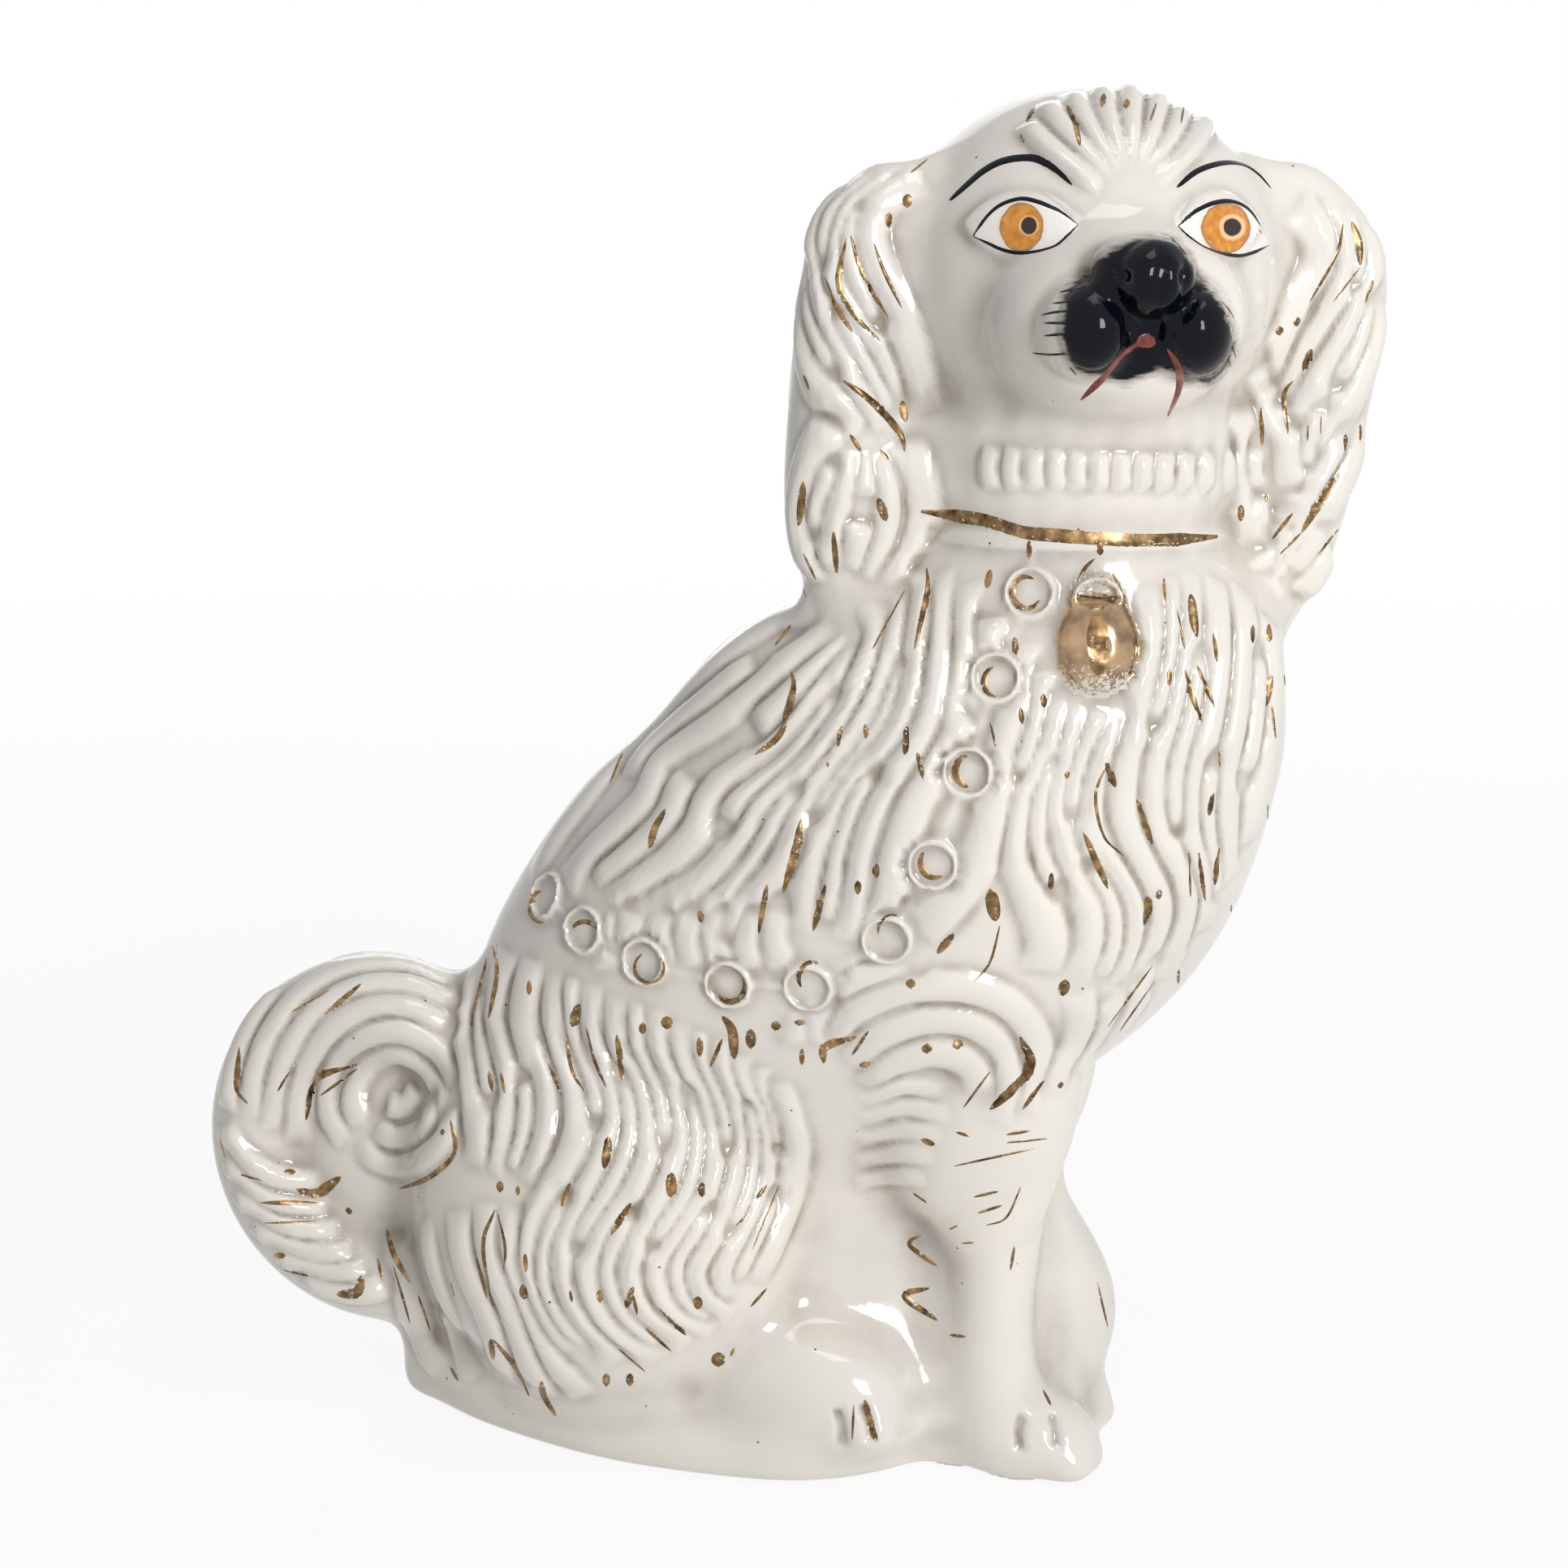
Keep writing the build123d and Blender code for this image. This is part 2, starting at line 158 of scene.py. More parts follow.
def new_material(name):
    """An empty material, its node tree, and the place of each point on the object."""
    material = bpy.data.materials.new(name)
    material.use_nodes = True
    tree = material.node_tree
    tree.nodes.clear()
    return material, tree, node(tree, "TexCoord").outputs["Object"]


def seen_rays(tree):
    """1 for a ray that shows the background straight, in a gloss or through glass, and 0 for lighting."""
    path = node(tree, "LightPath").outputs
    direct = node(tree, "Math", path["Is Camera Ray"], path["Is Glossy Ray"], operation="MAXIMUM")
    return node(tree, "Math", direct, path["Is Transmission Ray"], operation="MAXIMUM")


def make_floor():
    """The white sweep, which takes the dog's shadow near it and runs into the background further off."""
    mesh = bpy.data.meshes.new("floor")
    turn = np.linspace(0, 2 * math.pi, floor_corners, endpoint=False)
    rim = [(floor_radius * math.cos(angle), floor_radius * math.sin(angle), 0.0) for angle in turn]
    mesh.from_pydata(rim, [], [tuple(range(len(rim)))])
    floor = bpy.data.objects.new("floor", mesh)
    bpy.context.scene.collection.objects.link(floor)
    material, tree, place = new_material("white_paper_sweep")
    paper = node(tree, "BsdfDiffuse", Color=linear(floor_colour))
    glow = node(tree, "Emission", Color=(1, 1, 1, 1), Strength=1.0)
    away = node(tree, "VectorMath", place, operation="LENGTH")
    away = node(tree, "MapRange", away, *floor_fade, *floor_glow)
    share = node(tree, "Math", seen_rays(tree), away, operation="MULTIPLY")
    node(tree, "OutputMaterial", Surface=node(tree, "MixShader", share, paper, glow))
    mesh.materials.append(material)


def make_lamp(name, place, sides, watts):
    """A soft rectangular lamp that faces the middle of the dog."""
    data = bpy.data.lights.new(name, "AREA")
    data.shape = "RECTANGLE"
    data.size, data.size_y = sides
    data.energy = watts
    lamp = bpy.data.objects.new(name, data)
    lamp.location = place
    aim = lamps_face - Vector(place)
    lamp.rotation_euler = aim.to_track_quat("-Z", "Y").to_euler()
    bpy.context.scene.collection.objects.link(lamp)


def make_world():
    """The white room: white where it is seen, and weaker as a light."""
    world = bpy.data.worlds.new("white_room")
    bpy.context.scene.world = world
    world.use_nodes = True
    tree = world.node_tree
    tree.nodes.clear()
    strength = node(tree, "Mix", seen_rays(tree), room_light, 1.0, data_type="FLOAT")
    room = node(tree, "Background", Color=(1, 1, 1, 1), Strength=strength)
    node(tree, "OutputWorld", Surface=room)


make_floor()
for row in LAMPS:
    make_lamp(*row)
make_world()
bpy.context.scene.view_settings.view_transform = "Standard"


# Glazed skin
# The real figure is one skin once it is fired: slip and glaze fill every joint between the luted pieces.
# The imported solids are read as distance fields, run together with a fillet at each joint, and meshed once.
cell = 0.85
# A distance field is true up to reach from its surface. Past field_end it stands still.
reach = 8.0
field_end = 0.98 * reach
vent_radius = 6.0
vent_depth = 8.0
# node, fillet to the pieces before it
joint_fillets = (
    ("trunk_near", 0.8),
    ("trunk_far", 0.8),
    ("base_tray", 7.0),
    ("foreleg_near", 6.0),
    ("foreleg_far", 6.0),
    ("hind_paw_near", 4.0),
    ("hind_paw_far", 4.0),
    ("tail", 3.0),
    ("head_face", 1.5),
    ("head_back", 1.5),
    ("neck_ruff", 2.5),
    ("ear_left", 6.0),
    ("ear_right", 6.0),
)
# node, fillet, how far the glaze drowns it
relief_fillets = (
    ("eye_left", 2.0, 0.0),
    ("eye_right", 2.0, 0.0),
    ("muzzle", 1.8, 0.0),
    ("collar", 1.0, 0.2),
    ("chain_links", 1.2, 0.0),
    ("chain_bars", 1.6, 0.8),
    ("padlock_body", 1.4, 0.0),
    ("padlock_shackle", 1.0, 0.0),
)
slip_radius = 5.0
glaze_softening = 2.2
plug_fillet = 0.5

margin = reach + slip_radius + 2
box_low = np.floor((np.array(cad_box[0]) / mm - margin) / cell).astype(int)
box_high = np.ceil((np.array(cad_box[1]) / mm + margin) / cell).astype(int)


def mesh_arrays(mesh):
    """A mesh's points, in millimetres, and its triangles."""
    mesh.calc_loop_triangles()
    points = np.empty(len(mesh.vertices) * 3, np.float32)
    mesh.vertices.foreach_get("co", points)
    triangles = np.empty(len(mesh.loop_triangles) * 3, np.int32)
    mesh.loop_triangles.foreach_get("vertices", triangles)
    return points.reshape(-1, 3) / mm, triangles.reshape(-1, 3).astype(np.uint32)


def distance_field(points, triangles=None, quads=None):
    """Signed distance to a closed mesh, negative inside, on a block of cells, and the block's place."""
    cells = openvdb.createLinearTransform(voxelSize=cell)
    grid = openvdb.FloatGrid.createLevelSetFromPolygons(
        points.astype(np.float32), triangles=triangles, quads=quads, transform=cells, halfWidth=reach / cell
    )
    low, high = grid.evalActiveVoxelBoundingBox()
    field = np.zeros([high[i] - low[i] + 1 for i in range(3)], np.float32)
    grid.copyToArray(field, low)
    place = tuple(slice(low[i] - box_low[i], high[i] + 1 - box_low[i]) for i in range(3))
    return field, place


def blend_in(whole, field, place, fillet):
    """Joins a field to the whole, with a fillet where the two surfaces meet."""
    part = whole[place]
    close = np.maximum(fillet - np.abs(part - field), 0)
    close[np.maximum(part, field) > field_end] = 0
    whole[place] = np.minimum(part, field) - close * close / (4 * fillet)


def soften(whole, width):
    """Rounds every edge and crease over a width, as glaze does."""
    for _ in range(round(2 * (width / cell) ** 2)):
        for axis in range(3):
            moved = np.swapaxes(whole, 0, axis)
            moved[1:-1] = (moved[:-2] + 2 * moved[1:-1] + moved[2:]) / 4


def cylinder_field(x, y, radius, low, high):
    """Signed distance to an upright cylinder, on the whole box."""
    axes = [np.arange(box_low[i], box_high[i], dtype=np.float32) * cell for i in range(3)]
    around = np.sqrt((axes[0][:, None] - x) ** 2 + (axes[1][None, :] - y) ** 2) - radius
    along = np.abs(axes[2] - (low + high) / 2) - (high - low) / 2
    return np.maximum(around[:, :, None], along[None, None, :])


def outer_surface(whole):
    """Points, in millimetres, and quads of the surface, without the walls of the hollow inside."""
    grid = openvdb.FloatGrid(reach)
    grid.transform = openvdb.createLinearTransform(voxelSize=cell)
    grid.copyFromArray(whole, tuple(int(i) for i in box_low))
    points, _, quads = grid.convertToPolygons(isovalue=0.0)
    quads = quads.astype(np.int64)
    group = np.arange(len(points))
    while True:
        lowest = group[quads].min(axis=1)
        smaller = group.copy()
        for corner in range(4):
            np.minimum.at(smaller, quads[:, corner], lowest)
        smaller = smaller[smaller]
        if np.array_equal(smaller, group):
            break
        group = smaller
    outer = group == group[points[:, 2].argmax()]
    number = np.cumsum(outer) - 1
    return points[outer].astype(np.float64), number[quads[outer[quads[:, 0]]]]


whole = np.full(box_high - box_low, reach, np.float32)
owner = np.zeros(whole.shape, np.int8)
closest = np.full(whole.shape, 4 * reach, np.float32)
for number, (name, fillet) in enumerate(joint_fillets):
    field, place = distance_field(*mesh_arrays(nodes[name].data))
    blend_in(whole, field, place, fillet)
    closer = field < closest[place]
    owner[place][closer] = number
    closest[place][closer] = field[closer]
middle_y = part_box("trunk_near")[1].y / mm
vent_x = -20.8
everywhere = (slice(None),) * 3
# A plug closes the hollow over the vent, so that the vent has an end.
plug = cylinder_field(vent_x, middle_y, vent_radius * 2, 0, vent_depth * 2)
blend_in(whole, plug, everywhere, plug_fillet)
# Slip fills the inner corners to a radius: the surface goes out by it, and comes back in.
hull, hull_quads = outer_surface(whole - slip_radius)
whole[:] = reach
field, place = distance_field(hull, quads=hull_quads.astype(np.uint32))
whole[place] = field + slip_radius
soften(whole, glaze_softening)
fitted = np.full(whole.shape, -1, np.int8)
for number, (name, fillet, drowned) in enumerate(relief_fillets):
    field, place = distance_field(*mesh_arrays(nodes[name].data))
    blend_in(whole, field + drowned, place, fillet)
    fitted[place][field < cell] = number
whole = np.maximum(whole, -cylinder_field(vent_x, middle_y, vent_radius, -reach, vent_depth))


def face_normals(points, quads):
    """Normals of the quads, as long as twice their area."""
    return np.cross(points[quads[:, 2]] - points[quads[:, 0]], points[quads[:, 3]] - points[quads[:, 1]])


def point_normals(points, quads):
    """Unit normals at the points."""
    across = face_normals(points, quads)
    normals = np.zeros_like(points)
    for corner in range(4):
        for axis in range(3):
            normals[:, axis] += np.bincount(quads[:, corner], across[:, axis], len(points))
    return normals / np.maximum(np.linalg.norm(normals, axis=1), 1e-9)[:, None]


skin, skin_quads = outer_surface(whole)
volume = (skin[skin_quads].mean(axis=1) * face_normals(skin, skin_quads)).sum()
if volume < 0:
    skin_quads = skin_quads[:, ::-1]


def quad_edges(quads):
    """The edges of the quads, as pairs of corners."""
    return np.concatenate([quads[:, [i, (i + 1) % 4]] for i in range(4)])


skin_edges = quad_edges(skin_quads)


def spread(values, width):
    """Values at the skin's points, evened out with their neighbours over a width in millimetres."""
    if values.ndim == 2:
        return np.stack([spread(column, width) for column in values.T], axis=1)
    count = np.bincount(skin_edges[:, 0], minlength=len(skin))
    for _ in range(max(1, round((width / cell) ** 2))):
        total = np.bincount(skin_edges[:, 0], values[skin_edges[:, 1]], len(skin))
        values = (values + total / count) / 2
    return values


# Moulded fur
# The mould's fur is long rounded locks, about 6 mm wide and 2 mm proud, that nest side by side in waves.
# Each row below is the line along one lock, read from the photograph in its pixels. The side that the
# photograph doesn't show mirrors the one that it does.
FLANK = (
    ((1000, 740), (930, 780), (850, 845), (770, 925), (700, 1010), (650, 1080)),
    ((1030, 775), (960, 825), (890, 880), (815, 935), (790, 990), (730, 1050), (690, 1095)),
    ((1050, 790), (1010, 855), (960, 920), (880, 975), (850, 1030), (790, 1080), (740, 1105)),
    ((1085, 740), (1060, 830), (1000, 925), (945, 985), (905, 1050), (860, 1095), (800, 1115)),
    ((1110, 730), (1085, 850), (1035, 935), (985, 1000), (960, 1055), (925, 1100), (890, 1150)),
    ((1135, 700), (1125, 800), (1100, 890), (1040, 965), (1015, 1030), (1000, 1085), (985, 1150)),
    ((1160, 700), (1160, 800), (1140, 900), (1080, 985), (1055, 1050), (1050, 1100), (1035, 1160)),
    ((1185, 715), (1185, 830), (1170, 910), (1125, 985), (1105, 1050), (1090, 1110), (1070, 1180)),
)
CHEST = (
    ((1215, 760), (1215, 800), (1190, 870)),
    ((1262, 790), (1262, 860), (1245, 920), (1232, 980), (1210, 1050), (1170, 1110), (1130, 1150)),
    ((1300, 860), (1290, 920), (1262, 985), (1255, 1050), (1275, 1110), (1290, 1160), (1280, 1200)),
    ((1335, 870), (1315, 930), (1300, 990), (1310, 1055), (1345, 1105), (1350, 1160), (1330, 1215)),
    ((1380, 880), (1350, 940), (1340, 1000), (1358, 1055), (1390, 1105), (1395, 1160), (1370, 1225)),
    (
        (1425, 720), (1425, 800), (1405, 880), (1385, 950),
        (1385, 1010), (1410, 1065), (1430, 1120), (1405, 1200),
    ),
    (
        (1465, 700), (1462, 790), (1448, 870), (1425, 950),
        (1430, 1020), (1455, 1075), (1462, 1130), (1430, 1210),
    ),
    ((1500, 710), (1500, 800), (1490, 880), (1470, 960), (1470, 1030), (1490, 1090), (1480, 1150)),
    ((1530, 720), (1535, 810), (1528, 890), (1510, 970), (1508, 1040), (1515, 1090)),
    ((1565, 760), (1568, 840), (1562, 920), (1548, 990), (1540, 1040)),
)
BELLY = (
    ((1120, 1190), (1060, 1205), (1000, 1235), (960, 1255)),
    ((1330, 1215), (1335, 1260), (1320, 1300), (1290, 1340)),
    ((1375, 1215), (1365, 1265), (1330, 1320)),
    ((1420, 1190), (1400, 1235), (1360, 1290)),
)
SHOULDER = (
    (
        (1012, 1290), (1045, 1250), (1105, 1222), (1180, 1218),
        (1235, 1235), (1268, 1272), (1278, 1320), (1262, 1370),
    ),
    ((1045, 1315), (1082, 1278), (1140, 1256), (1200, 1262), (1236, 1292), (1244, 1340), (1230, 1385)),
    ((1062, 1340), (1100, 1312), (1150, 1298), (1195, 1310), (1212, 1345)),
)
ELBOW = (
    ((1062, 1362), (1110, 1340), (1165, 1345)),
    ((1060, 1385), (1110, 1366), (1170, 1374)),
    ((1055, 1410), (1105, 1392), (1160, 1398)),
    ((1052, 1435), (1100, 1422), (1150, 1424)),
    ((1052, 1460), (1095, 1450), (1140, 1452)),
)
HAUNCH = (
    ((597, 1165), (575, 1250), (580, 1340), (592, 1400), (585, 1440)),
    ((625, 1170), (606, 1260), (625, 1340), (622, 1400), (606, 1448)),
    ((655, 1180), (645, 1260), (668, 1340), (665, 1400), (640, 1455)),
    (
        (682, 1195), (690, 1280), (712, 1345), (710, 1405), (680, 1465),
        (655, 1520), (650, 1575), (672, 1630), (705, 1668),
    ),
    (
        (722, 1210), (725, 1280), (752, 1345), (752, 1405), (725, 1465),
        (694, 1520), (688, 1575), (714, 1632), (765, 1680),
    ),
    (
        (762, 1228), (765, 1285), (790, 1345), (796, 1405), (775, 1465),
        (738, 1520), (726, 1572), (750, 1628), (812, 1678),
    ),
    (
        (803, 1242), (806, 1288), (830, 1345), (840, 1405), (825, 1465),
        (788, 1520), (770, 1568), (792, 1620), (850, 1660),
    ),
    (
        (842, 1262), (845, 1300), (866, 1350), (878, 1405), (868, 1465),
        (835, 1520), (812, 1562), (830, 1612), (880, 1642),
    ),
    (
        (880, 1280), (885, 1315), (905, 1360), (914, 1410), (905, 1470),
        (875, 1525), (852, 1565), (866, 1606), (905, 1622),
    ),
    (
        (915, 1300), (922, 1335), (940, 1375), (945, 1420),
        (936, 1478), (910, 1530), (892, 1570), (905, 1598),
    ),
    ((948, 1335), (962, 1375), (972, 1420), (968, 1480), (948, 1535), (925, 1580)),
)
RUMP = (
    ((488, 1520), (500, 1580), (520, 1650), (540, 1690)),
    ((520, 1500), (535, 1570), (562, 1640), (585, 1700)),
    ((560, 1490), (572, 1560), (602, 1630), (622, 1705)),
    ((598, 1480), (604, 1545), (628, 1610), (652, 1680), (672, 1725)),
    ((628, 1485), (628, 1545), (648, 1610), (684, 1680), (720, 1725)),
)
TAIL_OUTER = (
    ((562, 1182), (500, 1166), (430, 1168), (365, 1195), (318, 1245), (290, 1305), (278, 1370)),
    ((560, 1205), (500, 1188), (438, 1190), (380, 1217), (340, 1262), (315, 1318), (306, 1380)),
    ((556, 1232), (500, 1212), (445, 1214), (395, 1240), (360, 1285), (340, 1338), (335, 1395)),
    ((552, 1262), (505, 1238), (452, 1240), (408, 1266), (380, 1308), (366, 1355), (366, 1410)),
)
TAIL_LOWER = (
    ((275, 1385), (292, 1425), (335, 1452), (395, 1462)),
    ((280, 1425), (302, 1460), (345, 1482), (405, 1488)),
    ((292, 1465), (320, 1498), (362, 1514), (418, 1514)),
    ((312, 1505), (345, 1532), (388, 1544), (435, 1538)),
    ((340, 1542), (378, 1563), (415, 1570), (450, 1562)),
    ((372, 1572), (410, 1588), (445, 1592), (470, 1580)),
)
TAIL_CURL = (
    ((556, 1335), (536, 1296), (492, 1272), (445, 1282), (412, 1320), (404, 1368), (425, 1412)),
    ((545, 1362), (530, 1322), (490, 1300), (452, 1312), (434, 1348), (442, 1390)),
    ((556, 1360), (548, 1400), (515, 1430), (470, 1432), (440, 1410)),
    ((535, 1350), (524, 1388), (492, 1404), (462, 1390)),
    ((515, 1340), (500, 1362), (476, 1360)),
)
FOREHEAD = (
    ((1362, 226), (1322, 200), (1285, 172), (1262, 150)),
    ((1372, 218), (1338, 184), (1305, 150), (1288, 124)),
    ((1382, 212), (1358, 176), (1334, 138), (1322, 112)),
    ((1390, 210), (1376, 172), (1362, 134), (1358, 106)),
    ((1398, 210), (1396, 172), (1394, 134), (1394, 104)),
    ((1404, 210), (1418, 174), (1426, 138), (1430, 108)),
    ((1411, 212), (1438, 178), (1454, 144), (1462, 116)),
    ((1418, 218), (1458, 186), (1482, 154), (1492, 130)),
)
EAR_LEFT = (
    ((1135, 214), (1085, 238), (1062, 280), (1072, 330), (1102, 396), (1122, 456), (1132, 510)),
    ((1095, 212), (1052, 238), (1030, 280), (1026, 322), (1044, 370), (1082, 436), (1112, 500)),
    ((1045, 222), (1010, 262), (998, 320), (1006, 372), (1034, 430), (1070, 490), (1102, 540)),
    ((990, 330), (985, 390), (998, 445), (1030, 500), (1062, 530)),
    ((1028, 520), (1000, 570), (984, 625), (990, 680), (1008, 722)),
    ((1058, 560), (1036, 602), (1020, 655), (1028, 705)),
    ((1078, 560), (1096, 610), (1092, 665), (1066, 715)),
    ((1094, 530), (1120, 578), (1130, 625), (1118, 675), (1086, 718)),
)
EAR_RIGHT = (
    ((1600, 250), (1628, 282), (1632, 325), (1606, 370), (1582, 420), (1566, 470)),
    ((1640, 240), (1664, 290), (1658, 340), (1630, 390), (1602, 440), (1580, 490)),
    ((1680, 270), (1690, 325), (1676, 378), (1648, 428), (1618, 470), (1594, 515)),
    ((1700, 370), (1692, 420), (1674, 470), (1648, 515), (1622, 560)),
    ((1556, 450), (1570, 500), (1588, 550), (1600, 600)),
    ((1530, 500), (1530, 560), (1542, 618), (1562, 668), (1576, 710)),
    ((1690, 520), (1664, 575), (1630, 630), (1594, 680), (1566, 725)),
    ((1650, 530), (1628, 578), (1594, 628), (1562, 672)),
    ((1684, 610), (1662, 655), (1630, 700), (1602, 735)),
)
# The ruff's curls and the band's locks stand side by side, a row of 13 and a row of 7.
ruff_places = range(1222, 1570, 27)
band_places = range(742, 985, 36)


def ruff_sag(x):
    """How far the ruff hangs below its ends at a pixel, in pixels."""
    return 10 * math.sin((x - 1215) / 125)


RUFF = tuple(((x, 548 + ruff_sag(x)), (x - 4, 575 + ruff_sag(x)), (x, 604)) for x in ruff_places)
BAND = tuple(((x, 1122), (x - 5, 1158), (x + 3, 1196)) for x in band_places) + (
    ((985, 1225), (975, 1255), (985, 1290)),
    ((1020, 1235), (1008, 1262), (1015, 1300)),
)
TOE_CREASES = (
    ((1297, 1738), (1301, 1760), (1302, 1785)),
    ((1262, 1742), (1256, 1765), (1257, 1792)),
    ((1062, 1728), (1070, 1752), (1072, 1780)),
    ((1030, 1735), (1036, 1758), (1036, 1785)),
)
# The middles of the chain's rings. The locks end at a clearance from them, over a short fade.
RING_CENTRES = (
    (1265, 730), (1230, 840), (1195, 950), (1152, 1062), (1100, 1147), (1002, 1205), (900, 1215), (800, 1192),
    (720, 1155), (670, 1117),
)
ring_clearance = 4.3
ring_fade = 2.6
# rows, half width, height, share of the length over which each end thins out
PHOTO_LOCKS = (
    (FLANK, 5.0, 2.3, 0.16),
    (CHEST, 5.0, 2.1, 0.16),
    (BELLY, 4.4, 1.5, 0.3),
    (BAND, 4.0, 1.3, 0.3),
    (SHOULDER, 4.6, 2.0, 0.2),
    (ELBOW, 2.8, 1.3, 0.45),
    (HAUNCH, 5.0, 2.4, 0.16),
    (RUMP, 4.4, 2.0, 0.2),
    (TAIL_OUTER, 4.0, 2.2, 0.16),
    (TAIL_LOWER, 4.0, 2.2, 0.2),
    (TAIL_CURL, 3.6, 2.2, 0.16),
    (FOREHEAD, 3.0, 2.4, 0.25),
    (EAR_LEFT, 5.6, 2.3, 0.2),
    (EAR_RIGHT, 5.6, 2.2, 0.2),
    (RUFF, 2.6, 2.0, 0.3),
)
MIRRORED = (FLANK, CHEST, BELLY, BAND, SHOULDER, ELBOW, HAUNCH, RUMP)
FORKED = (FLANK, CHEST, HAUNCH, EAR_LEFT, EAR_RIGHT)
# A short lock goes between two rows where they stand from fork_least to fork_most pixels apart. It starts
# and ends at these of the fork_steps along them, once in an even gap and twice in an odd one.
fork_least = 37
fork_most = 2.2 * fork_least
fork_steps = 24
FORK_PLACES = (((5, 15),), ((0, 8), (13, 22)))

skin_tree = BVHTree.FromPolygons(skin.tolist(), skin_quads.tolist())
skin_finder = KDTree(len(skin))
for index, point in enumerate(skin):
    skin_finder.insert(point, index)
skin_finder.balance()


def smooth_line(points, step):
    """Points at an even step along a smooth curve through the given ones."""
    points = np.array(points, float)
    ends = np.concatenate([[2 * points[0] - points[1]], points, [2 * points[-1] - points[-2]]])
    dense = []
    for a, b, c, d in zip(ends, ends[1:], ends[2:], ends[3:]):
        slope = c - a
        bend = 2 * a - 5 * b + 4 * c - d
        twist = 3 * b - a - 3 * c + d
        for t in np.linspace(0, 1, 12, endpoint=False):
            dense.append(b + (slope * t + bend * t**2 + twist * t**3) / 2)
    dense = np.array(dense + [points[-1]])
    along = np.concatenate([[0], np.cumsum(np.linalg.norm(np.diff(dense, axis=0), axis=1))])
    places = np.linspace(0, along[-1], max(3, int(round(along[-1] / step)) + 1))
    return np.stack([np.interp(places, along, dense[:, axis]) for axis in range(dense.shape[1])], axis=1)


def seen(x, y):
    """The point of the skin that the photograph shows at a pixel, or None."""
    return skin_tree.ray_cast(camera_place, pixel_ray(x, y))[0]


def line_on_skin(pixels, step=8.0):
    """A smooth line on the skin through pixels of the photograph."""
    points = [seen(x, y) for x, y in smooth_line(pixels, step)]
    return np.array([point for point in points if point is not None])


def mirrored(points):
    """The same line on the dog's other side, set on the skin there."""
    other = [skin_tree.find_nearest(Vector((x, 2 * middle_y - y, z)))[0] for x, y, z in points]
    return np.array(other)


class Locks:
    """Rounded locks that fill the skin between them, and meet in narrow grooves half way."""

    far_off = 99.0
    full_spacing = 6.0
    least_share = 0.35

    def __init__(self):
        self.first = np.full(len(skin), self.far_off)
        self.second = np.full(len(skin), self.far_off)
        self.crest = np.zeros(len(skin))
        self.breadth = np.ones(len(skin))

    def add(self, line, half_width, height, taper=0.16):
        """One lock along a line, thinning out at both ends."""
        if len(line) < 3:
            return
        near = set()
        for point in line[::2]:
            near.update(index for _, index, _ in skin_finder.find_range(Vector(point), 2 * half_width))
        near = np.fromiter(near, int)
        spans = np.diff(line, axis=0)
        lengths = np.maximum(np.linalg.norm(spans, axis=1), 1e-6)
        before = np.concatenate([[0], np.cumsum(lengths)])
        offset = skin[near][:, None, :] - line[:-1][None]
        share = np.clip((offset * spans[None]).sum(axis=2) / lengths**2, 0, 1)
        gaps = np.linalg.norm(offset - share[:, :, None] * spans[None], axis=2)
        best = gaps.argmin(axis=1)
        rows = np.arange(len(near))
        gap = gaps[rows, best]
        along = (before[best] + share[rows, best] * lengths[best]) / before[-1]
        swell = np.clip(np.minimum(along, 1 - along) / taper, 0, 1)
        closer = gap < self.first[near]
        self.second[near] = np.where(closer, self.first[near], np.minimum(self.second[near], gap))
        self.crest[near] = np.where(closer, height * swell * (2 - swell), self.crest[near])
        self.breadth[near] = np.where(closer, half_width, self.breadth[near])
        self.first[near] = np.where(closer, gap, self.first[near])

    def relief(self):
        """How far the locks stand proud of the skin."""
        spacing = np.minimum(self.first + self.second, 2 * self.breadth)
        across = np.clip(2 * self.first / spacing, 0, 1)
        full = np.clip(spacing / self.full_spacing, self.least_share, 1)
        return self.crest * full * (1 - across**2.4) ** 0.8


def forks(rows):
    """Short locks that start or end where two rows stand well apart, as a hand-cut mould has."""
    steps = np.linspace(0, 1, fork_steps)
    for number, pair in enumerate(zip(rows, rows[1:])):
        places = []
        for line in (smooth_line(pixels, 12.0) for pixels in pair):
            evenly = np.linspace(0, 1, len(line))
            places.append(np.stack([np.interp(steps, evenly, line[:, axis]) for axis in (0, 1)], axis=1))
        middle = (places[0] + places[1]) / 2
        apart = np.linalg.norm(places[0] - places[1], axis=1)
        for start, end in FORK_PLACES[number % 2]:
            if fork_least < apart[start : end + 1].mean() < fork_most:
                yield middle[start : end + 1]


fur = Locks()
for rows, *form in PHOTO_LOCKS:
    extra = list(forks(rows)) if rows in FORKED else []
    for pixels in list(rows) + extra:
        line = line_on_skin(pixels)
        fur.add(line, *form)
        if rows in MIRRORED and len(line):
            fur.add(mirrored(line), *form)


# The back of the head, the backs of the ears and the tail's far side aren't in the photograph. They get
# locks of the same kind, down the head, and behind each lock of the ears and the tail.
head_turn = 18.0
head_middle = (71.2, 6.2)
back_turns = range(20, 181, 9)
back_heights = range(232, 300, 6)
outside = 90
tail_joint = 14
tail_low, tail_high = (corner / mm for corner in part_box("tail"))


def cast_lock(rays, half_width, height):
    """Adds a lock where rays, each a start and a direction, meet the skin."""
    found = [skin_tree.ray_cast(start, direction)[0] for start, direction in rays]
    fur.add(np.array([point for point in found if point is not None]), half_width, height)


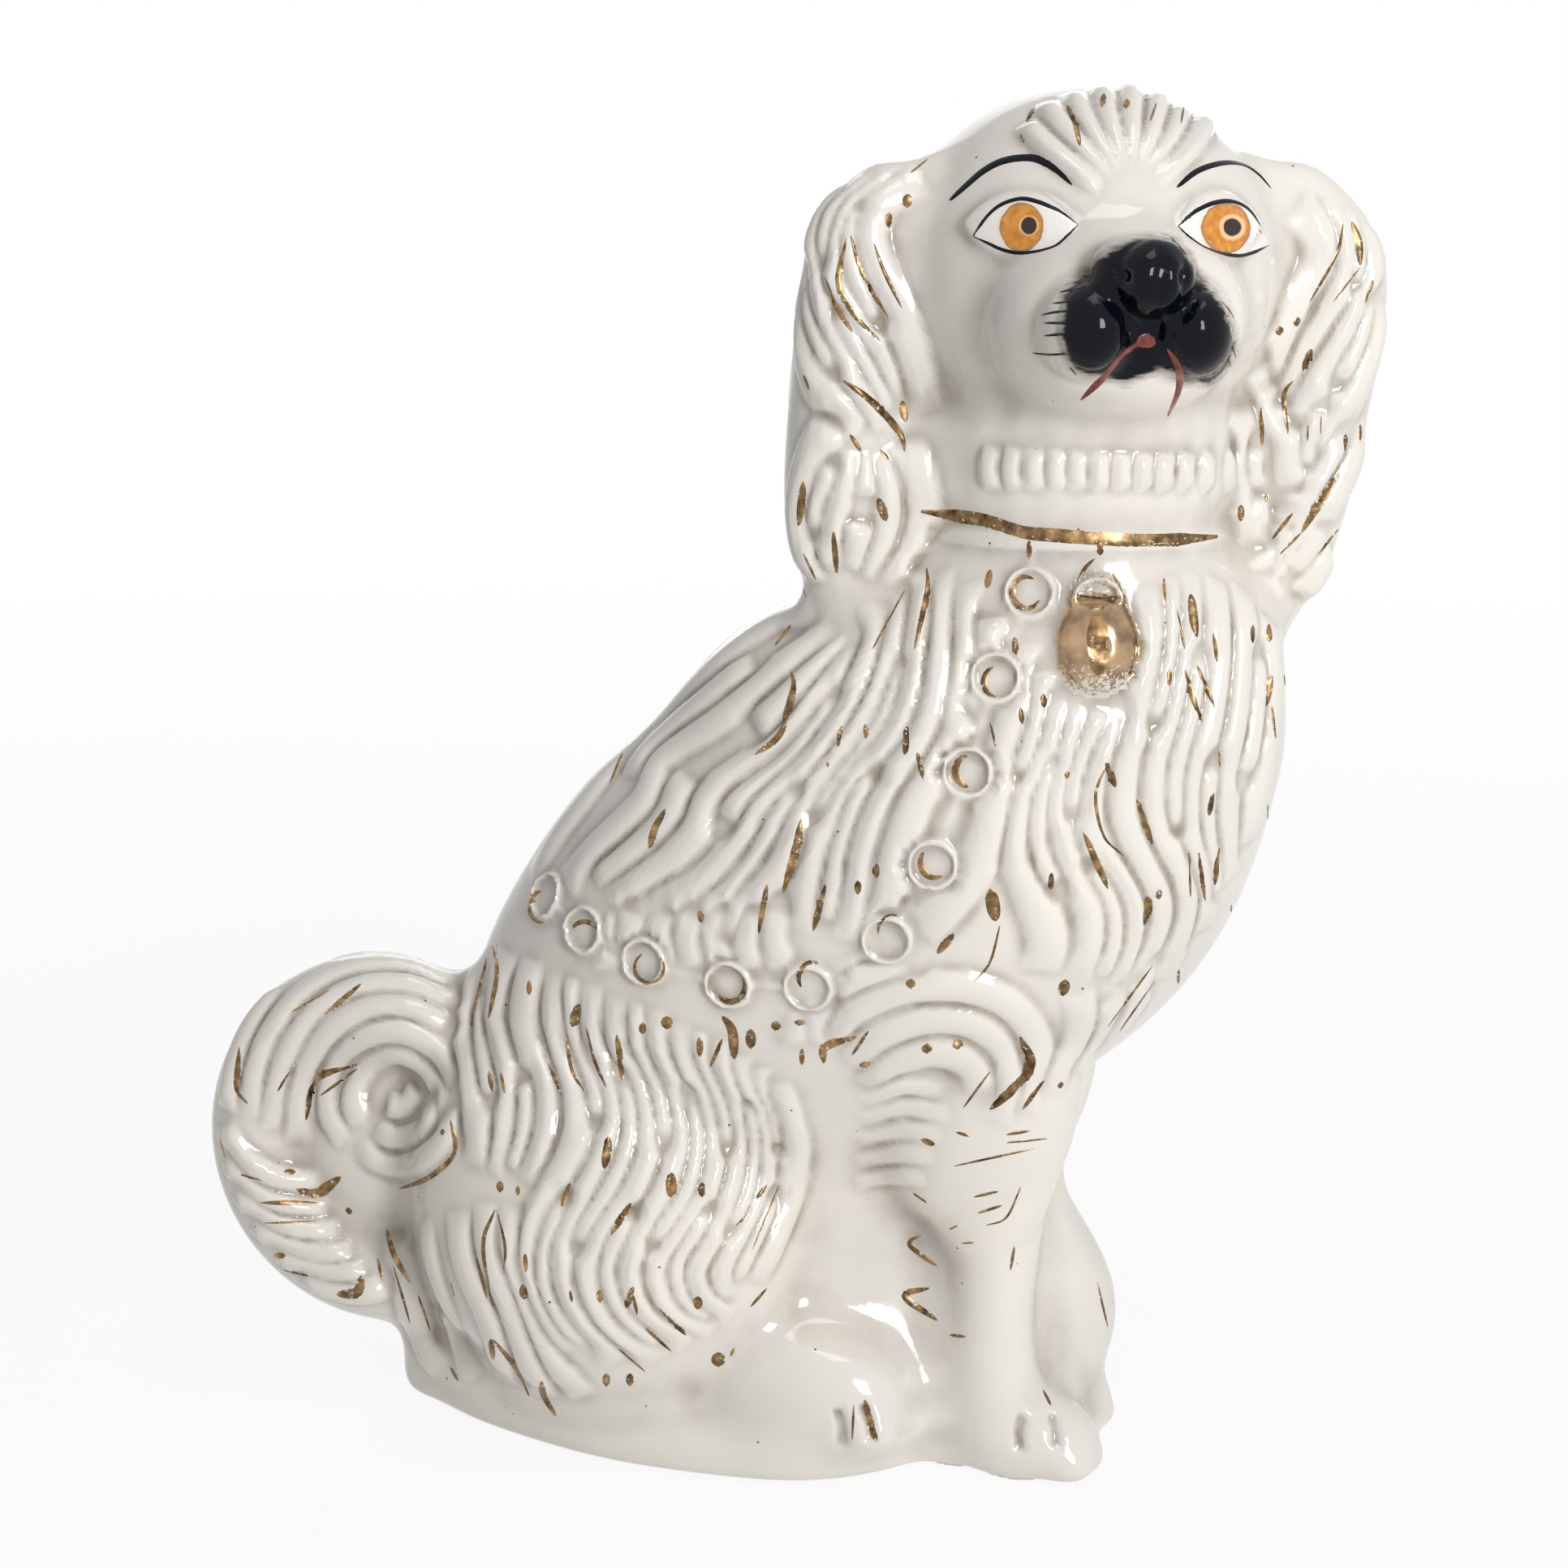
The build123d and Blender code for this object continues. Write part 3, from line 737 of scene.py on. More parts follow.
for turn in back_turns:
    rays = []
    for z in back_heights:
        angle = math.radians(head_turn + turn + 5 * math.sin(z / 9 + turn / 40))
        out = Vector((math.cos(angle), math.sin(angle), 0))
        rays.append((Vector((*head_middle, z)) + out * outside, -out))
    cast_lock(rays, 4.0, 1.6)
for pixels in EAR_LEFT + EAR_RIGHT:
    starts = [Vector(point) - camera_back * outside for point in line_on_skin(pixels)]
    cast_lock([(start, camera_back) for start in starts], 5.0, 1.8)
for pixels in TAIL_OUTER + TAIL_LOWER + TAIL_CURL:
    starts = [Vector((point[0], tail_high.y + outside, point[2])) for point in line_on_skin(pixels)]
    free = [start for start in starts if tail_low.x < start.x < tail_high.x - tail_joint]
    cast_lock([(start, Vector((0, -1, 0))) for start in free], 4.0, 2.0)

# The mould is pulled straight off, towards the viewer and away, so the locks run out where the skin turns
# edge-on to that, along the ridge of the back, the crown and the edges of the ears.
draft_full = 0.55
draft_least = 0.12


def eased(share):
    """A share from 0 to 1 that starts and ends gently."""
    return share * share * (3 - 2 * share)


normals = point_normals(skin, skin_quads)
smooth_normals = spread(normals, 3.2)
smooth_normals /= np.linalg.norm(smooth_normals, axis=1)[:, None]
draft = np.clip(np.abs(smooth_normals @ np.array(camera_back)) / draft_full, 0, 1)
relief = fur.relief() * (draft_least + (1 - draft_least) * eased(draft))

# No lock runs over the collar, chain, padlock, eyes or nose, or close to the chain's rings.
cells = np.round(skin / cell).astype(int) - box_low
calm = (fitted[cells[:, 0], cells[:, 1], cells[:, 2]] >= 0).astype(float)
calm = np.clip(spread(calm, 1.0) * 1.2, 0, 1)
for x, y in RING_CENTRES:
    for _, index, gap in skin_finder.find_range(seen(x, y), ring_clearance + ring_fade):
        calm[index] = max(calm[index], min(1, (ring_clearance + ring_fade - gap) / ring_fade))
relief = spread(relief * (1 - eased(calm)), 1.0)
creases = Locks()
for pixels in TOE_CREASES:
    creases.add(line_on_skin(pixels, 5.0), 1.5, 2.6)


# Nose and lips
# Under the enamel the muzzle is a round nose over two full lips. The nose has two upright ridges with a
# groove between them, and a groove parts it from each lip.
# middle, half width and half height in the photograph's pixels, and how far it swells
MUZZLE_SWELLS = (
    (1427, 345, 48, 54, 2.4),
    (1345, 402, 44, 56, 1.8),
    (1483, 412, 38, 56, 1.8),
)
NOSE_RIDGES = (
    ((1418, 312), (1411, 332), (1408, 352), (1410, 372)),
    ((1447, 316), (1441, 336), (1438, 356), (1434, 376)),
)
MUZZLE_GROOVES = (
    ((1366, 352), (1382, 382), (1398, 424)),
    ((1480, 350), (1464, 382), (1446, 414)),
    ((1428, 372), (1424, 400), (1422, 424)),
)
nose_floor = 230
nose_front = -10
front = (normals @ np.array(camera_back) > 0) & (skin[:, 2] > nose_floor) & (skin[:, 1] < nose_front)
front_pixels = pixels_of(skin[front])
swell = np.zeros(len(front_pixels))
for x, y, across, down, height in MUZZLE_SWELLS:
    square = ((front_pixels[:, 0] - x) / across) ** 2 + ((front_pixels[:, 1] - y) / down) ** 2
    swell = np.maximum(swell, height * np.clip(1 - square, 0, 1) ** 0.6)
relief[front] += swell
ridges = Locks()
for pixels in NOSE_RIDGES:
    ridges.add(line_on_skin(pixels, 4.0), 1.9, 1.1, 0.4)
for pixels in MUZZLE_GROOVES:
    creases.add(line_on_skin(pixels, 4.0), 1.6, 1.5, 0.3)
relief += spread(ridges.relief() - creases.relief(), 0.8)

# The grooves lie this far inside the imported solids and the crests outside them. The foot stays flat.
groove_depth = 0.5
foot_height = 0.4
skin_at_rest = skin
skin = skin + smooth_normals * (relief - groove_depth)[:, None]
skin[skin[:, 2] < foot_height, 2] = 0
normals = point_normals(skin, skin_quads)
skin_tree = BVHTree.FromPolygons(skin.tolist(), skin_quads.tolist())


# Glaze
# Lead-glazed earthenware: a warm white body under a thin clear glaze that runs thicker in the hollows.
# Painted shade greys the hollows between the locks and the broad recesses. It is glossy, with a slow
# ripple and a few kiln specks.
glaze_white = linear("#EBE5DC")
glaze_cool = linear("#E1DDD6")
# Painted shade: the colours that the hollows and the broad recesses are darkened towards.
hollow_shade_colour = linear("#857766")
recess_shade_colour = linear("#A2968A")
speck_brown = linear("#4A3A2C")
enamel_black = linear("#050913")
enamel_thin = linear("#5B4B3D")
enamel_edge = 4.0


def sunk(width, along, evening):
    """How deep the skin's points lie in hollows of about a width, in millimetres."""
    return spread(((spread(skin, width) - skin) * along).sum(axis=1), evening)


# How deep each point lies in a hollow or a broad recess sets where painted shade darkens the glaze.
hollow = sunk(3.6, normals, 0.9)
recess = sunk(9.0, smooth_normals, 2.0)


def enamel_border(tree, place, body):
    """The brushed edge of the black muzzle over the body's colour: thin and brown, then full black."""
    inward = node(tree, "Attribute", attribute_name="enamel").outputs["Fac"]
    hairs = node(tree, "Mapping", Vector=place, Scale=(0.35, 1.0, 2.2))
    hairs = node(tree, "TexNoise", Vector=hairs, Scale=1 / (2.2 * mm), Detail=3.0, Roughness=0.6)
    hairs = node(tree, "MapRange", hairs, 0.3, 0.7, -0.5, 0.5)
    brushed = node(tree, "Math", inward, hairs, operation="ADD")
    wash = node(tree, "MapRange", brushed, enamel_edge - 1.8, enamel_edge + 0.2, 0.0, 0.7)
    thin = node(tree, "Mix", wash, body, enamel_thin, data_type="RGBA")
    cover = node(tree, "MapRange", brushed, enamel_edge - 0.3, enamel_edge + 0.5)
    return node(tree, "Mix", cover, thin, enamel_black, data_type="RGBA")


def glaze_colour(tree, place):
    """The glaze's colour: warm white, cooler in broad patches, painted shade in hollows and recesses, and
    specks.
    """
    patches = node(tree, "TexNoise", Vector=place, Scale=1 / (45.0 * mm), Detail=3.0)
    patches = node(tree, "MapRange", patches, 0.35, 0.65)
    body = node(tree, "Mix", patches, glaze_white, glaze_cool, data_type="RGBA")
    # Painted shade: the hollows are darkened grey-brown, unevenly, and less so in the deepest pits.
    depth = node(tree, "Attribute", attribute_name="hollow").outputs["Fac"]
    uneven = node(tree, "TexNoise", Vector=place, Scale=1 / (9.0 * mm), Detail=4.0)
    uneven = node(tree, "MapRange", uneven, 0.3, 0.7, 0.35, 1.0)
    shade_eased_in_pits = node(tree, "MapRange", depth, 0.55, 1.20, 1.0, 0.1)
    uneven_shade_strength = node(tree, "Math", uneven, shade_eased_in_pits, operation="MULTIPLY")
    painted_shade = node(tree, "MapRange", depth, -0.05, 0.46, 0.0, 0.95)
    painted_shade = node(tree, "Math", painted_shade, uneven_shade_strength, operation="MULTIPLY")
    body = node(tree, "Mix", painted_shade, body, hollow_shade_colour, data_type="RGBA")
    # Painted shade: the broad recesses are greyed as well.
    broad = node(tree, "Attribute", attribute_name="recess").outputs["Fac"]
    broad = node(tree, "MapRange", broad, 0.3, 4.5, 0.0, 0.42)
    body = node(tree, "Mix", broad, body, recess_shade_colour, data_type="RGBA")
    body = enamel_border(tree, place, body)
    specks = node(tree, "TexVoronoi", Vector=place, Scale=1 / (7.0 * mm))
    specks = node(tree, "MapRange", specks, 0.03, 0.055, 1.0, 0.0)
    few = node(tree, "TexNoise", Vector=place, Scale=1 / (14.0 * mm))
    few = node(tree, "MapRange", few, 0.55, 0.57)
    specks = node(tree, "Math", specks, few, operation="MULTIPLY")
    return node(tree, "Mix", specks, body, speck_brown, data_type="RGBA")


def glaze_ripple(tree, place):
    """The slow ripple of a poured glaze, as a normal."""
    slow = node(tree, "TexNoise", Vector=place, Scale=1 / (11.0 * mm), Detail=1.5, Roughness=0.4)
    return node(tree, "Bump", Strength=0.35, Distance=0.5 * mm, Height=slow)


def white_glaze():
    """The glazed body, for every piece that isn't enamelled or gilt."""
    material, tree, place = new_material("lead_glazed_earthenware")
    rough = node(tree, "TexNoise", Vector=place, Scale=1 / (20.0 * mm), Detail=3.0)
    rough = node(tree, "MapRange", rough, 0.3, 0.8, 0.07, 0.17)
    surface = node(
        tree, "BsdfPrincipled", Base_Color=glaze_colour(tree, place), Roughness=rough, IOR=1.5,
        Normal=glaze_ripple(tree, place)
    )
    node(tree, "OutputMaterial", Surface=surface)
    return material


glaze = white_glaze()


# Skin pieces
# The skin is parted where the potter's shells and luted pieces meet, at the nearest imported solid. Each piece
# is a shell whose edge turns in at the seam. Normals are shared along the seams, so that none of them shows.
WHITE_NODES = tuple(name for name, _ in joint_fillets)
lip = 2.5
lip_height = 0.2
pixel_size = camera_distance / focal_pixels


def owners(points):
    """For each point, the number in WHITE_NODES of the node that it lies nearest to."""
    cells = np.round(points / cell).astype(int) - box_low
    return owner[cells[:, 0], cells[:, 1], cells[:, 2]]


def add_piece(name, points, faces, material, stands_for=()):
    """A smooth piece of the figure from points in millimetres. It rides on the one body."""
    mesh = bpy.data.meshes.new(name)
    mesh.from_pydata((np.array(points) * mm).tolist(), [], faces)
    mesh.polygons.foreach_set("use_smooth", np.ones(len(faces), bool))
    mesh.materials.append(material)
    piece = bpy.data.objects.new(name, mesh)
    bpy.context.scene.collection.objects.link(piece)
    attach(piece, "root")
    if stands_for:
        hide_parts(*stands_for)
    return mesh


def skin_piece(name, number, material, stands_for):
    """The quads of the skin that are nearest to a number, with a lip turned in along their edge."""
    used, corners = np.unique(skin_quads[nearest == number], return_inverse=True)
    corners = corners.reshape(-1, 4)
    edges = quad_edges(corners)
    keys = edges[:, 0] * len(used) + edges[:, 1]
    open_edges = edges[~np.isin(keys, edges[:, 1] * len(used) + edges[:, 0])]
    rim, ends = np.unique(open_edges, return_inverse=True)
    ends = ends.reshape(-1, 2) + len(used)
    turned_in = skin[used[rim]] - smooth_normals[used[rim]] * lip
    turned_in[:, 2] = np.maximum(turned_in[:, 2], lip_height)
    faces = corners.tolist() + np.column_stack([open_edges[:, ::-1], ends]).tolist()
    mesh = add_piece(name, np.vstack([skin[used], turned_in]), faces, material, stands_for)
    used = np.append(used, used[rim])
    for title, values in (("hollow", hollow), ("recess", recess), ("enamel", enamel)):
        made = mesh.attributes.new(title, "FLOAT", "POINT")
        made.data.foreach_set("value", values[used].astype(np.float32))
    mesh.normals_split_custom_set_from_vertices(normals[used].tolist())


MUZZLE_EDGE = (
    (1391, 299), (1418, 293), (1445, 296), (1463, 315), (1474, 338), (1493, 360), (1508, 382), (1518, 408),
    (1520, 427), (1513, 449), (1491, 473), (1475, 468), (1458, 470), (1445, 458), (1430, 453), (1409, 462),
    (1386, 470), (1371, 465), (1343, 461), (1324, 453), (1313, 435), (1309, 411), (1312, 385), (1312, 362),
    (1330, 343), (1350, 322), (1370, 309),
)
muzzle_floor = 240
muzzle_front = -15
muzzle_margin = 1.5


def depth_inside(edge, pixels):
    """How far pixels lie inside a closed outline, in millimetres, and negative outside."""
    edge = np.array(edge, float)
    after = np.roll(edge, -1, axis=0)
    spans = after - edge
    offset = pixels[:, None, :] - edge[None]
    share = np.clip((offset * spans).sum(axis=2) / (spans**2).sum(axis=1), 0, 1)
    gap = np.linalg.norm(offset - share[:, :, None] * spans, axis=2).min(axis=1)
    x, y = pixels[:, :1], pixels[:, 1:]
    rises = (edge[:, 1] > y) != (after[:, 1] > y)
    at_x = edge[:, 0] + (y - edge[:, 1]) * spans[:, 0] / np.where(spans[:, 1] == 0, 1e-9, spans[:, 1])
    inside = (rises & (x < at_x)).sum(axis=1) % 2 == 1
    return np.where(inside, gap, -gap) * pixel_size


face_side = (normals @ np.array(camera_back) > -0.1) & (skin[:, 2] > muzzle_floor)
face_side &= skin[:, 1] < muzzle_front
enamel = np.zeros(len(skin))
inward = depth_inside(MUZZLE_EDGE, pixels_of(skin[face_side]))
enamel[face_side] = np.clip(inward + enamel_edge, 0, 2 * enamel_edge)

share = np.zeros((len(skin), len(WHITE_NODES)))
share[np.arange(len(skin)), owners(skin_at_rest)] = 1
share = spread(share, 4.5)
nearest = share[skin_quads].sum(axis=1).argmax(axis=1)
muzzle_number = len(WHITE_NODES)
collar_number = muzzle_number + 1
chain_number = muzzle_number + 2
padlock_number = muzzle_number + 3
nearest[enamel[skin_quads].min(axis=1) > enamel_edge - muzzle_margin] = muzzle_number
relief_names = [name for name, _, _ in relief_fillets]
on_relief = fitted[cells[:, 0], cells[:, 1], cells[:, 2]][skin_quads]
for titles, number in (
    (("collar",), collar_number),
    (("chain_links", "chain_bars"), chain_number),
    (("padlock_body", "padlock_shackle"), padlock_number),
):
    chosen = np.isin(on_relief, [relief_names.index(title) for title in titles])
    nearest[chosen.sum(axis=1) >= 3] = number

for number, name in enumerate(WHITE_NODES):
    skin_piece("glazed_" + name, number, glaze, [name])


# Muzzle
# The nose and both lips are covered with blue-black enamel, brushed on and fired on the glaze. It is thick
# and very glossy, and its edge is ragged and thin, where the brush ran out.
def black_enamel(name, gloss, on_glaze):
    """Enamel with a deep gloss. On the glaze it has a brushed edge, and elsewhere it covers its piece."""
    material, tree, place = new_material(name)
    if on_glaze:
        colour = glaze_colour(tree, place)
    else:
        tint = node(tree, "TexNoise", Vector=place, Scale=1 / (8.0 * mm))
        tint = node(tree, "MapRange", tint, 0.4, 0.7)
        colour = node(tree, "Mix", tint, enamel_black, linear("#0B0F1A"), data_type="RGBA")
    surface = node(
        tree, "BsdfPrincipled", Base_Color=colour, Roughness=gloss, IOR=1.5, Specular_IOR_Level=0.16,
        Normal=glaze_ripple(tree, place)
    )
    node(tree, "OutputMaterial", Surface=surface)
    return material


muzzle_black = black_enamel("blue_black_enamel", 0.08, True)
brush_black = black_enamel("painted_black_enamel", 0.22, False)
skin_piece("enamelled_muzzle", muzzle_number, muzzle_black, ["muzzle"])


# Gilding
# Thin burnished gold, laid on the fired glaze with a brush and rubbed by a century of dusting, so that it is
# brown where it is thin and the glaze shows through in places.
gold_deep = linear("#3A2C1F")
gold_mid = linear("#80684A")
gold_bright = linear("#BD976A")
rubbed_glaze = linear("#DDD5C8")


def worn_gold(name, wear):
    """Gilding with a share of it rubbed off."""
    material, tree, place = new_material(name)
    tone = node(tree, "TexNoise", Vector=place, Scale=1 / (3.0 * mm), Detail=4.0, Roughness=0.6)
    thick = node(tree, "MapRange", tone, 0.30, 0.52)
    gold = node(tree, "Mix", thick, gold_deep, gold_mid, data_type="RGBA")
    bright = node(tree, "MapRange", tone, 0.52, 0.72)
    gold = node(tree, "Mix", bright, gold, gold_bright, data_type="RGBA")
    rubbed = node(tree, "TexNoise", Vector=place, Scale=1 / (1.3 * mm), Detail=4.0, Roughness=0.7)
    rubbed = node(tree, "MapRange", rubbed, 1 - wear - 0.03, 1 - wear + 0.03)
    rough = node(tree, "TexNoise", Vector=place, Scale=1 / (2.0 * mm), Detail=3.0)
    surface = node(
        tree, "BsdfPrincipled", Roughness=node(tree, "MapRange", rough, 0.3, 0.7, 0.26, 0.48),
        Base_Color=node(tree, "Mix", rubbed, gold, rubbed_glaze, data_type="RGBA"),
        Metallic=node(tree, "Math", 1.0, rubbed, operation="SUBTRACT"), Normal=glaze_ripple(tree, place)
    )
    node(tree, "OutputMaterial", Surface=surface)
    return material


stroke_gold = worn_gold("brushed_gilding", 0.37)


def square_end(along):
    """A stroke of even width with blunt ends."""
    return np.minimum(1, 6 * np.minimum(along, 1 - along) + 0.25)


def leaf(along):
    """A stroke that is widest in its middle and pointed at both ends."""
    return np.sqrt(np.clip(4 * along * (1 - along), 0.015, 1))


def late_leaf(along):
    """A stroke that is pointed at both ends and widest before its middle."""
    return leaf(along**0.7)


def way_out(face):
    """The way out of the skin at one of its quads."""
    return normals[skin_quads[face]].mean(axis=0)


class Brush:
    """Collects painted strokes, each a thin lens of enamel or gold that lies on the skin."""

    # The points over a stroke's width: their places, and how far they stand off the skin. The edges dip in.
    across = np.array([-1.0, -0.6, 0.0, 0.6, 1.0])
    lift = np.array([-0.12, 0.07, 0.11, 0.07, -0.12])
    jump = 4.0

    def __init__(self, load=1.5):
        self.load = load
        self.points = []
        self.faces = []

    def unbroken(self, found):
        """The longest run of places on the skin without a jump to a form behind."""
        runs = [[]]
        for hit in found:
            if runs[-1] and (hit[0] - runs[-1][-1][0]).length > self.jump:
                runs.append([])
            runs[-1].append(hit)
        return max(runs, key=len)

    def stroke(self, pixels, width, shape=leaf):
        """One stroke through pixels of the photograph, as wide in its middle as the given pixels."""
        found = [skin_tree.ray_cast(camera_place, pixel_ray(x, y)) for x, y in smooth_line(pixels, 3.0)]
        found = self.unbroken([hit for hit in found if hit[0] is not None])
        if len(found) < 3:
            return
        line = np.array([hit[0] for hit in found])
        upward = np.array([way_out(hit[2]) for hit in found])
        aside = np.cross(upward, np.gradient(line, axis=0))
        aside /= np.maximum(np.linalg.norm(aside, axis=1), 1e-9)[:, None]
        half = self.load * width / 2 * pixel_size * shape(np.linspace(0, 1, len(line)))
        first = len(self.points)
        for point, side, reach_out in zip(line, aside, half):
            for part, lift in zip(self.across, self.lift):
                place, _, face, _ = skin_tree.find_nearest(Vector(point + side * reach_out * part))
                self.points.append(np.array(place) + way_out(face) * lift)
        columns = len(self.across)
        for row in range(len(line) - 1):
            for column in range(columns - 1):
                corner = first + row * columns + column
                self.faces.append((corner, corner + 1, corner + columns + 1, corner + columns))

    def strokes(self, rows):
        """Strokes from rows of pixels that end in a width."""
        for row in rows:
            self.stroke(row[:-1], row[-1])

    def piece(self, name, material, slot):
        """The strokes so far, as one piece."""
        add_piece(name, self.points, self.faces, material)


# Collar, chain and padlock
# The moulded ring chain stays white, with a gilt crescent on each ring. The collar is a gilt line between
# the ears, and the padlock is gilt all over and rubbed.
# start and end of each ring's crescent, in degrees anticlockwise from the right, and its width
CRESCENTS = (
    (60, 330, 7), (110, 260, 6), (100, 265, 8), (140, 300, 7), (70, 190, 4), (70, 215, 6), (215, 390, 8),
    (120, 400, 5), (30, 150, 6), (100, 270, 8),
)
ring_across = 18.0
ring_down = ring_across * 1.08
padlock_low, padlock_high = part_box("padlock_body")


def padlock_gold():
    """Silvery worn gold, thickest at the padlock's waist and rubbed to speckles at its foot."""
    material, tree, place = new_material("rubbed_padlock_gilding")
    height = node(tree, "SeparateXYZ", place).outputs["Z"]
    worn_height = padlock_low.z + 0.45 * (padlock_high.z - padlock_low.z)
    worn = node(tree, "MapRange", height, padlock_low.z, worn_height, 0.34, 0.0)
    above = node(tree, "MapRange", height, padlock_high.z - 1.5 * mm, padlock_high.z + 1.0 * mm, 0.0, 0.30)
    worn = node(tree, "Math", worn, above, operation="ADD")
    grain = node(tree, "TexNoise", Vector=place, Scale=1 / (0.9 * mm), Detail=4.0, Roughness=0.7)
    rubbed = node(tree, "MapRange", node(tree, "Math", grain, worn, operation="ADD"), 0.68, 0.76)
    tone = node(tree, "TexNoise", Vector=place, Scale=1 / (5.0 * mm), Detail=3.0)
    tone = node(tree, "MapRange", tone, 0.35, 0.65)
    gold = node(tree, "Mix", tone, linear("#8E7560"), linear("#C2A582"), data_type="RGBA")
    gold = node(tree, "Mix", rubbed, gold, linear("#D9D2C7"), data_type="RGBA")
    surface = node(
        tree, "BsdfPrincipled", Base_Color=gold, Roughness=0.16, Normal=glaze_ripple(tree, place),
        Metallic=node(tree, "Math", 1.0, rubbed, operation="SUBTRACT")
    )
    node(tree, "OutputMaterial", Surface=surface)
    return material


skin_piece("moulded_chain", chain_number, glaze, ["chain_links", "chain_bars"])
skin_piece("gilt_padlock", padlock_number, padlock_gold(), ["padlock_body", "padlock_shackle"])
skin_piece("collar_band", collar_number, glaze, ["collar"])

chain_brush = Brush()
for (x, y), (start, end, width) in zip(RING_CENTRES, CRESCENTS):
    turn = [math.radians(a) for a in np.linspace(start, end, 9)]
    arc = [(x + ring_across * math.cos(a), y - ring_down * math.sin(a)) for a in turn]
    chain_brush.stroke(arc, width)
# The first two bars have a touch of gold as well.
chain_brush.strokes((((1250, 785), (1252, 807), 7), ((1268, 666), (1268, 690), 6)))
chain_brush.piece("gilt_on_chain", stroke_gold, "gilding")

# The keyhole plate, the shackle's top and side, and the padlock's edges catch the light.
padlock_brush = Brush(1.0)
padlock_brush.stroke(((1352, 756), (1353, 795), (1354, 832)), 38)
padlock_brush.stroke(((1355, 668), (1356, 684)), 10, square_end)
padlock_brush.strokes((
    ((1349, 688), (1337, 700), (1327, 718), 6), ((1330, 734), (1355, 737), (1380, 736), 6),
    ((1370, 705), (1378, 720), (1384, 734), 4),
))
padlock_brush.piece("bright_gold_on_padlock", worn_gold("bright_gilding", 0.25), "gilding")

collar_brush = Brush(1.6)
collar_brush.stroke(
    (
        (1135, 630), (1175, 635), (1215, 641), (1258, 655), (1300, 660), (1350, 664), (1400, 666),
        (1450, 665), (1500, 661),
    ),
    13, square_end
)
collar_brush.piece("gilt_collar", stroke_gold, "gilding")


# Gilt strokes on the fur
# The gilder touched some of the locks with short strokes, thickest on the chest, haunch and ears. Each row
# is the stroke's pixels in the photograph and its width there.
HEAD_STROKES = (
    ((1275, 130), (1265, 150), 6), ((1257, 165), (1262, 175), 4),
    ((1315, 130), (1325, 155), (1331, 180), 7), ((1360, 115), (1358, 132), 7),
    ((1388, 122), (1388, 134), 8), ((1425, 127), (1417, 150), 3), ((1460, 125), (1455, 152), 3),
    ((1527, 166), (1528, 174), 5),
)
LEFT_EAR_STROKES = (
    ((1143, 196), (1122, 213), 3), ((1118, 239), (1118, 256), 10), ((1095, 262), (1095, 280), 9),
    ((1048, 290), (1062, 336), (1095, 392), 5), ((1043, 294), (1033, 347), (1050, 385), (1084, 420), 7),
    ((1077, 300), (1090, 336), (1111, 379), 4), ((1016, 341), (1032, 381), (1050, 409), 6),
    ((990, 462), (997, 480), 5), ((1039, 469), (1073, 494), (1107, 531), (1115, 556), 9),
    ((1111, 494), (1116, 520), 9), ((1047, 535), (1061, 556), 5), ((1084, 554), (1096, 567), 4),
    ((990, 593), (984, 648), 9), ((1082, 614), (1092, 642), 11), ((1027, 655), (1031, 706), 7),
    ((990, 682), (1005, 714), 3), ((977, 686), (993, 736), 2),
)
RIGHT_EAR_STROKES = (
    ((1655, 275), (1647, 313), (1614, 372), 4), ((1665, 273), (1675, 298), (1676, 327), 8),
    ((1676, 329), (1643, 372), 2), ((1692, 345), (1682, 374), 5), ((1576, 402), (1577, 413), 10),
    ((1598, 391), (1598, 402), 10), ((1616, 430), (1606, 457), 9),
    ((1593, 469), (1582, 488), (1587, 535), 5), ((1554, 502), (1555, 549), 5),
    ((1612, 524), (1611, 543), 2), ((1628, 512), (1627, 535), 2), ((1658, 535), (1658, 555), 9),
    ((1676, 523), (1676, 543), 6), ((1645, 588), (1628, 617), (1604, 656), 9),
    ((1604, 656), (1577, 683), 3), ((1593, 632), (1567, 665), 4), ((1649, 652), (1624, 683), 4),
    ((1529, 622), (1529, 642), 8), ((1560, 609), (1560, 618), 4),
)
